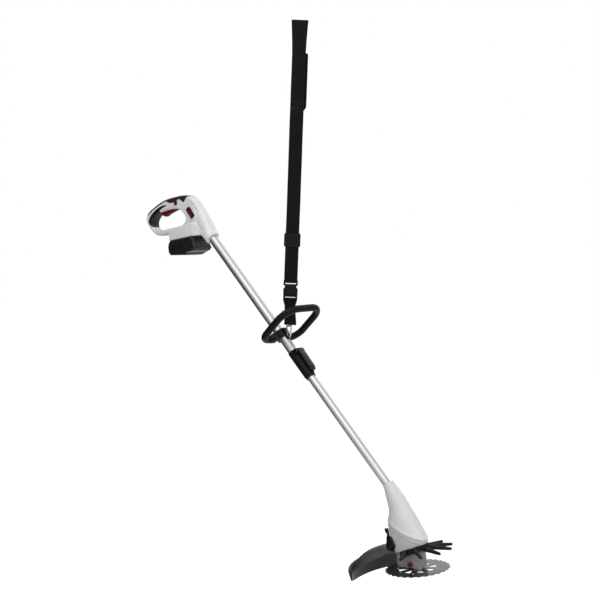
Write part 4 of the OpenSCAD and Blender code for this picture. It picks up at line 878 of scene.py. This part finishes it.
frame_cut = rounded_outline(from_shaft([(-615, 9.4), (-569, 9.2), (-573, -10.6),
                                        (-619, -9.6)]), 3, 40)
window_cut = rounded_outline(from_shaft([(-611, 6.4), (-572, 6.2), (-576, -7.8),
                                         (-614, -6.8)]), 2, 40)


def skin_part(name, points, corners, thick, offset):
    """One part of the skin, with only its own points, and with a wall. The normals already
    point outwards."""
    used, at = np.unique(corners, return_inverse=True)
    mesh = bpy.data.meshes.new(name)
    mesh.from_pydata(points[used].tolist(), [], at.reshape(-1, 3).tolist())
    piece = linked(name, mesh)
    wall = piece.modifiers.new("wall", "SOLIDIFY")
    wall.thickness, wall.offset = thick, offset
    baked(piece)
    return piece


skins = {}
points, left_over = shell_points, shell_corners
for part_name, outline in (("top", top_grip_cut), ("border", border_cut),
                           ("rear", rear_grip_cut), ("frame", frame_cut)):
    x, y, z = in_handle(points)
    gap = beyond(outline, x, z)
    if part_name == "frame":
        gap = np.maximum.reduce([gap, y, -beyond(window_cut, x, z)])
    points, skins[part_name], left_over = part_skin(points, left_over, gap)
housing = skin_part("handle_housing", points, left_over, 0.0018, -1)
top_rubber = skin_part("top_grip_rubber", points, skins["top"], 0.0018, -0.5)
rear_rubber = skin_part("rear_grip_rubber", points, skins["rear"], 0.0018, -0.7)
rear_border = skin_part("rear_grip_border", points, skins["border"], 0.0020, -0.2)
button_frame = skin_part("button_frame", points, skins["frame"], 0.0020, -0.2)
white_tint = (1, 1, 1.012)
white = mottled("white_shell", 0.72, 0.80, 20, 4, 0.30, 0.12, (1900, 2), 0.00008, 0.4, 0.0,
                white_tint, white_tint)
dress(housing, white, "trimmer", "white_shell", "handle_shell_right",
      "handle_shell_left")
soft_black = Shop("overmoulded_rubber")
dust, dimple = soft_black.noise(70, 5), soft_black.add(
    "ShaderNodeTexVoronoi", None, Vector=soft_black.place, Scale=520.0, out="Distance")
dusted = soft_black.mix(rgb(0.009, (1, 0.95, 1.15)), rgb(0.022, (1, 0.95, 1.3)), dust)
soft_black.finish(dusted, 0.42 + dust * 0.15, dimple, 0.0003, 0.5,
                  Specular_IOR_Level=0.25)
dress(top_rubber, soft_black.material, "trimmer", "grip_rubber", "top_grip")
dress(rear_rubber, soft_black.material, "trimmer", "grip_rubber", "rear_grip")
gloss_black = moulded("gloss_black", 0.005, 0.16, 600, 0.00003, gloss=0.4)
dress(rear_border, gloss_black, "trimmer", "grip_rubber")
dress(button_frame, gloss_black, "trimmer", "grip_rubber")
coat(moulded("inner_plastic", 0.04, 0.5), "terminal_block", "trigger_switch")

# ---------------------------------------------------------------- controls
# The trigger is a dark red moulded lever in the grip's opening. Above it a red bar can be
# pushed through from either side, and a red button sits in a black frame on the column.
trigger_side = [(-237, 131), (-236, 121), (-231, 112), (-222, 107.5), (-212, 108.5),
                (-204, 113), (-187, 116.5), (-161, 121), (-146, 124), (-145, 129),
                (-158, 139), (-232, 136)]
trigger = slab("trigger_lever", rounded_outline(trigger_side, 5, 160), 8, 3.2, at_handle)
trigger_red = moulded("dark_red", 0.13, 0.34, 1500, 0.0001, (1, 0.05, 0.10), 0.3, 0.15)
dress(trigger, trigger_red, "trigger", "red_trigger", "trigger")
coat(moulded("lock_off_red", 0.12, 0.32, 1500, 0.0001, (1, 0.06, 0.12), 0.3, 0.18),
     "lock_off_button")
button = Shop("red_in_black")
button_middle = handle_socket - 0.121 * shaft_run + 0.001 * shaft_up
button_run = button.along(button_middle, shaft_run)
button_high = button.along(button_middle, shaft_up).size()
frame_black = ((button_run.size() - 0.0145).most(button_high - 0.0052) * 1800).share()
cloud, ribs = button.noise(240, 4), (button_run * 2600).sine()
button_red = button.mix(rgb(0.09, (1, 0.05, 0.12)), rgb(0.14, (1, 0.07, 0.14)), cloud)
button.finish(button.mix(button_red, rgb(0.006), frame_black), 0.34 + cloud * 0.1,
              ribs * (1 - frame_black), 0.0003, 0.5, Specular_IOR_Level=0.2)
coat(button.material, "side_button")

# ---------------------------------------------------------------- battery
# A lithium pack in two black ABS mouldings, with a bare glossy panel on each cheek. A rubber
# bumper runs along the bottom with a pale painted highlight line, and inside are ten cells.
pack_black = Shop("pack_plastic")
pack_x = pack_black.along(handle_socket, slide_run)
pack_z = pack_black.along(handle_socket, slide_up)
panel = ((pack_x + 0.138).size() - 0.030).most((pack_z + 0.0085).size() - 0.0095)
panel_edge = (panel * 1500 + 0.5).share()
grain, flow = pack_black.noise(1500, 2), pack_black.noise(40, 4)
# Painted light: the front part of the pack is painted paler, for the light on its front.
painted_light_front = ((pack_x + 0.058) * 900).share()
pack_black.finish(pack_black.mix(pack_black.mix(rgb(0.006), rgb(0.012), flow),
                                 rgb(0.022, (1, 1, 1.1)), painted_light_front),
                  0.30 + panel_edge * 0.14 + flow * 0.08,
                  grain * (panel_edge * 0.9 + 0.1) + panel_edge * 6, 0.00012, 0.5,
                  Specular_IOR_Level=0.25)
coat(pack_black.material, "battery_top", "battery_base")
coat(moulded("cell_wrap", 0.3, 0.3, 800, tint=(0.35, 0.75, 1.2)), "battery_cells")
bumper = Shop("bumper_rubber")
bumper_z = bumper.along(handle_socket, slide_up)
bumper_x = bumper.along(handle_socket, slide_run)
# Painted highlight: a pale line painted along the bumper where it turns under.
painted_highlight_line = (((bumper_z + 0.0330).size() - 0.0020) * -1400).share()
painted_highlight_line = painted_highlight_line * ((bumper_x + 0.115) * 60).share()
grain = bumper.noise(1600, 3)
bumper.finish(bumper.mix(rgb(0.010), rgb(0.24), painted_highlight_line), 0.42 + grain * 0.12, grain,
              0.0002, 0.5, Specular_IOR_Level=0.25)
coat(bumper.material, "battery_bumper")
coat(lever_grey, "battery_latch")

# ---------------------------------------------------------------- cutting head
# The head is one smooth white cover over a pale grey skirt. The cover's lower edge swells to
# a thick soft lip along a slanting seam, and its neck is cut square round the tube.
# In the blade's frame x is forward, y to the user's left and z up the spindle.
blade_centre = np.array(joints["spindle_spin"]["pos_m"])
at_blade = partial(placed, blade_centre, slide_run, across, slide_up)
# Sections of the head: height, centre, half length and half width.
head_keys = np.array([(30, -22, 48, 35), (60, -18.5, 54, 38.5), (80, -17.5, 56.5, 40),
                      (105, -24.5, 53.5, 41), (126, -30, 47.5, 39), (143, -32, 41, 35),
                      (161, -36, 34, 30.5), (179, -42.5, 30.5, 27), (200, -51, 26.5, 24),
                      (222, -61.5, 20.5, 19), (240, -72, 17, 16)], float)
head_turn = np.linspace(0, 2 * math.pi, 128, endpoint=False)
tube_way = np.array([lean_cos, 0, -lean_sin])
neck_down = 528
tube_point = (foot_of_strap + neck_down * mm * shaft_run - blade_centre) @ slide_ways / mm
neck_at = float(tube_point @ tube_way)
seam_fall, rim_climb = math.tan(math.radians(26.5)), math.tan(math.radians(16.5))


def head_skin(height, grow=0.0, turn=head_turn):
    """Points on the head's skin: at each height an ellipse, whose centre and half sizes
    follow the height, grown by some millimetres."""
    centre, length, width = even_spline(head_keys, np.ravel(height)).T.reshape(
        3, *np.shape(height))
    return np.stack([centre + (length + grow) * np.cos(turn), (width + grow) * np.sin(turn),
                     height + 0 * turn], -1)


def meet(level):
    """The height at which the skin meets a slanting plane, by halving the interval."""
    low, high = 20.0 + 0 * head_turn, 240.0 + 0 * head_turn
    for _ in range(40):
        middle = (low + high) / 2
        over = level(head_skin(middle)[:, 0], middle) > 0
        low, high = np.where(over, low, middle), np.where(over, middle, high)
    return (low + high) / 2


seam_height = meet(lambda x, z: z - 136 + seam_fall * (x + 75))
rim_height = meet(lambda x, z: z - 45 - rim_climb * (x + 50))
neck_height = meet(lambda x, z: -(x * lean_cos - z * lean_sin) + neck_at)
# The cover from the seam up to the neck, then over a small round edge and in to the tube.
up = np.concatenate([np.linspace(0, 0.2, 24), np.linspace(0.2, 1, 70)[1:]])[:, None]
cover_height = seam_height + 0.3 + (neck_height - seam_height - 0.3) * up
above = cover_height - seam_height
lip_out, lip_tall, seam_deep = 2.3, 15, 2.0
swelling = (lip_out * np.clip(1 - (above / lip_tall) ** 2, 0, 1) ** 1.5
            - seam_deep * np.exp(-above / 1.1))
cover = head_skin(cover_height, swelling)
hem = head_skin(seam_height[None] + 0.3, -3.2)
mouth = cover[-1:]
rolls = [mouth + (tube_point - mouth) * inward + tube_way * out
         for inward, out in ((0.03, 0.9), (0.06, 0.4), (0.12, 0.0))]
spoke = mouth - tube_point
collar_in = tube_point + spoke / np.linalg.norm(spoke, axis=-1, keepdims=True) * 14.2
rows = np.concatenate([hem, cover, *rolls, collar_in, collar_in + tube_way * 9])
head_cover = surface("head_cover_shell", at_blade(*np.moveaxis(rows, -1, 0)), sharp=55)
# Painted shade: the cover takes a darker copy of the handle's white.
head_white_painted_shade = mottled("head_white_painted_shade", 0.62, 0.70, 16, 4, 0.30, 0.12, (1900, 2), 0.00008, 0.4,
                     0.0, white_tint, white_tint)
dress(head_cover, head_white_painted_shade, "lower", "white_shell", "head_cover")

# The skirt has a band under the seam, then steps in and runs down to a rim that rises to
# the front. Its inner face is 3.7 mm inside the skin.
band_tall, band_out, skirt_round = 12.5, 1.3, 0.9
down = np.linspace(0, 1, 90)[:, None]
skirt_height = seam_height + 1.5 + (rim_height - seam_height - 1.5) * down
below = skirt_height - rim_height
under_seam = seam_height - skirt_height
band = band_out / 2 * (1 - np.tanh((under_seam - band_tall) / 0.7))
inner_height = rim_height + (seam_height - rim_height) * np.linspace(0, 0.96, 16)[:, None]
skirt_grow = band - band_out - skirt_round * np.exp(-below / 0.8)
skirt = np.concatenate([head_skin(skirt_height, skirt_grow), head_skin(inner_height, -3.7)])
skirt_shell = surface("head_skirt_shell", at_blade(*np.moveaxis(skirt, -1, 0)), closed=True,
                      sharp=55)
skirt_grey = mottled("skirt_grey", 0.50, 0.57, 22, 4, 0.36, 0.12, (1700, 2), 0.0001, 0.45)
dress(skirt_shell, skirt_grey, "lower", "skirt_plastic", "head_skirt")
coat(moulded("case_grey", 0.24, 0.42, 1500, 0.00015, gloss=0.3), "motor_case")
copper = Shop("enamelled_copper")
strands = (copper.along(blade_centre, slide_up) * 5200).sine()
copper.finish(copper.mix(rgb(0.35, (1, 0.5, 0.25)), rgb(0.6, (1, 0.55, 0.3)), strands), 0.35,
              strands, 0.0004, 0.6, 0.9)
coat(copper.material, "motor_stator")
coat(turned_steel, "motor_rotor", "spindle_bearings")

# ---------------------------------------------------------------- guards
# Tough black polypropylene, with a coarse dull grain, painted grey on the debris guard's crown
# as painted light from above. The debris guard is one pressing that sweeps round the blade; the
# plant guard has six fingers.
guard_black = Shop("guard_plastic")
coarse, flow = guard_black.noise(900, 3), guard_black.noise(30, 5)
dusty = ((guard_black.noise(120, 6, 0.7) - 0.5) * 1.4).most(0.0)
shade = guard_black.mix(guard_black.mix(rgb(0.007), rgb(0.014), flow), rgb(0.04), dusty)
guard_black.finish(shade, 0.40 + flow * 0.1, coarse, 0.0003, 0.5, Specular_IOR_Level=0.12)
coat(guard_black.material, "plant_guard")
crown = Shop("guard_crown")
# Painted light: the debris guard is painted paler higher up, for the light that falls on its
# top.
painted_top_light = ((crown.along(blade_centre, slide_up) - 0.002) * 22).share()
coarse, flow = crown.noise(900, 3), crown.noise(30, 5)
shade = crown.mix(rgb(0.012), rgb(0.062, (1, 1, 1.04)), painted_top_light * (0.75 + flow * 0.5))
crown.finish(shade, 0.40 + flow * 0.1, coarse, 0.0003, 0.5, Specular_IOR_Level=0.25)
guard_span, guard_turn, guard_radius, guard_crown, guard_rim = 42, -7, 190, 60, -33
outside = [(0, 0.97, 0.86), (0.17, 1, 0.89), (0.32, 0.97, 0.8), (0.48, 0.915, 0.73),
           (0.64, 0.855, 0.66), (0.78, 0.76, 0.57), (0.9, 0.63, 0.47), (0.96, 0.54, 0.43),
           (1.02, 0.53, 0.45), (1.03, 0.5, 0.43), (1.01, 0.25, 0.25), (0.99, 0, 0.12)]
underside = [(0.965, 0, 0.12), (0.96, 0.24, 0.24), (0.94, 0.47, 0.38), (0.88, 0.59, 0.43),
             (0.77, 0.72, 0.53), (0.63, 0.815, 0.62), (0.47, 0.875, 0.69), (0.32, 0.93, 0.76),
             (0.17, 0.96, 0.85), (0, 0.93, 0.82)]


def denser(keys, steps):
    """An open curve through the points, with some steps between two of them."""
    last = len(keys) - 1
    return even_spline(np.column_stack([np.arange(last + 1), keys]),
                       np.linspace(0, last, last * steps + 1))


profile = np.vstack([denser(outside, 4), denser(underside, 4)])
delta = np.linspace(-guard_span, guard_span, 90)[:, None]
share = np.abs(delta / guard_span) ** 4
bearing = np.radians(180 + guard_turn + delta)
seat_centre, seat_length, seat_width = even_spline(head_keys, [guard_crown])[0] - (0, 0.9, 0.9)
u = np.cos(bearing) ** 2 / seat_length ** 2 + np.sin(bearing) ** 2 / seat_width ** 2
v = -2 * seat_centre * np.cos(bearing) / seat_length ** 2
start = (-v + np.sqrt(v * v - 4 * u * (seat_centre ** 2 / seat_length ** 2 - 1))) / (2 * u)
guard_height = (1 - share) * profile[:, 1] + share * profile[:, 2]
guard_reach = start + (guard_radius - start) * profile[:, 0]
guard = surface("debris_guard_shell", at_blade(
    guard_reach * np.cos(bearing), guard_reach * np.sin(bearing),
    guard_rim + (guard_crown - guard_rim) * guard_height), sharp=42)
dress(guard, crown.material, "lower", "black_plastic", "debris_guard")

# A black tongue of the debris guard rises beside the skirt and hooks over a small tab. Its
# section at each height is a wedge against the skirt: thick at the rear, thin in front.
latch_keys = [(46.5, 217, 226, 15.5), (56, 217, 234, 16), (62, 212, 240, 16),
              (68, 208, 244, 15), (76, 204, 240, 13), (85, 202, 233, 11), (91, 202, 226, 8),
              (96, 200, 222, 7.5), (99, 200, 222, 10), (104, 200, 221, 11),
              (110, 200, 220, 10.5)]
latch_z = np.concatenate([[46.5, 46.9, 47.8], np.linspace(49, 108.6, 60), [109.6, 110]])
latch_from, latch_to, latch_out = (value[:, None] for value in
                                   even_spline(latch_keys, latch_z).T)
latch_out = latch_out - np.array([1.2, 0.4] + [0] * 61 + [0.5, 1.4])[:, None]
wedge = np.linspace(0, 1, 22)
turn_out = np.radians(latch_from + (latch_to - latch_from) * wedge)
latch_rows = np.hstack([
    head_skin(latch_z[:, None], 1.2 + latch_out * np.sqrt(1.0002 - wedge ** 1.6), turn_out),
    head_skin(latch_z[:, None], 0.6, turn_out[:, ::-1])])
latch = surface("latch_tongue", at_blade(*np.moveaxis(latch_rows, -1, 0)), sharp=50)
dress(latch, black_nylon, "lower", "black_plastic", "guard_latch")

# ---------------------------------------------------------------- spindle and blade
# The blade is a 1.6 mm disc of hardened steel with 28 teeth. Grinding has left rings round
# its centre, and it is stained darker in patches. The nut and washers are plated steel.
blade_steel = Shop("ground_steel")
blade_x = blade_steel.along(blade_centre, slide_run)
blade_y = blade_steel.along(blade_centre, across)
rings = blade_steel.drawn(4.0, (blade_x * blade_x + blade_y * blade_y) ** 0.5 * 1500)
stain = blade_steel.noise(34, 6, 0.62)
shade = blade_steel.mix(rgb(0.06, (1, 0.99, 0.97)), rgb(0.24), stain * 0.6 + rings * 0.4)
blade_steel.finish(shade, 0.2 + rings * 0.16 + stain * 0.1, rings, 0.00004, 0.35, 1.0)
blade_radius, bore_radius, tooth_count, tooth_depth, tooth_back = 92, 12.8, 28, 7.0, 0.72
disc_rows, disc_columns = 64, tooth_count * 18
ring_turn = np.linspace(0, 2 * math.pi, disc_columns, endpoint=False)
tooth = (ring_turn * tooth_count / (2 * math.pi)) % 1
notch = np.minimum(tooth / tooth_back, (1 - tooth) / (1 - tooth_back)) ** 1.3
disc_reach = np.linspace(0.1, 1.0, disc_rows)[:, None] * (blade_radius - tooth_depth * notch)
disc_reach[0] = bore_radius
disc_x, disc_y = disc_reach * np.cos(ring_turn), -disc_reach * np.sin(ring_turn)
row, column_at = np.indices((disc_rows - 1, disc_columns)).reshape(2, -1)
corner_a = row * disc_columns + column_at
corner_b = row * disc_columns + (column_at + 1) % disc_columns
disc_corners = np.vstack([
    np.stack([corner_a, corner_b, corner_b + disc_columns], 1),
    np.stack([corner_a, corner_b + disc_columns, corner_a + disc_columns], 1)])
disc_points = np.stack([disc_x.ravel(), disc_y.ravel(), np.zeros(disc_x.size)], 1)
# Eight large windows are wider outwards, and eight small ones between them wider inwards.
window_gap = np.full(disc_x.size, 1e6)
for turn_to in np.radians(np.arange(0, 360, 45)):
    for turn, tip, foot, half in ((turn_to, 23, 52, 11.0),
                                  (turn_to + math.pi / 8, 64, 53, 5.0)):
        ahead = np.array([math.cos(turn), math.sin(turn)])
        aside = half * np.array([-math.sin(turn), math.cos(turn)])
        window = rounded_outline([tip * ahead, foot * ahead + aside, foot * ahead - aside], 3,
                                 24)
        window_gap = np.minimum(window_gap, beyond(window, *disc_points[:, :2].T))
disc_points, _, disc_corners = part_skin(disc_points, disc_corners, window_gap)
blade = skin_part("blade_disc", at_blade(*disc_points.T), disc_corners[:, ::-1], 0.0016, 0)
dress(blade, blade_steel.material, "spindle", "blade_steel", "saw_blade")
coat(turned_steel, "spindle", "blade_flange", "blade_nut")
coat(moulded("spindle_lock_red", 0.14, 0.34, 1500, 0.0001, (1, 0.06, 0.08), 0.3, 0.2),
     "spindle_lock")
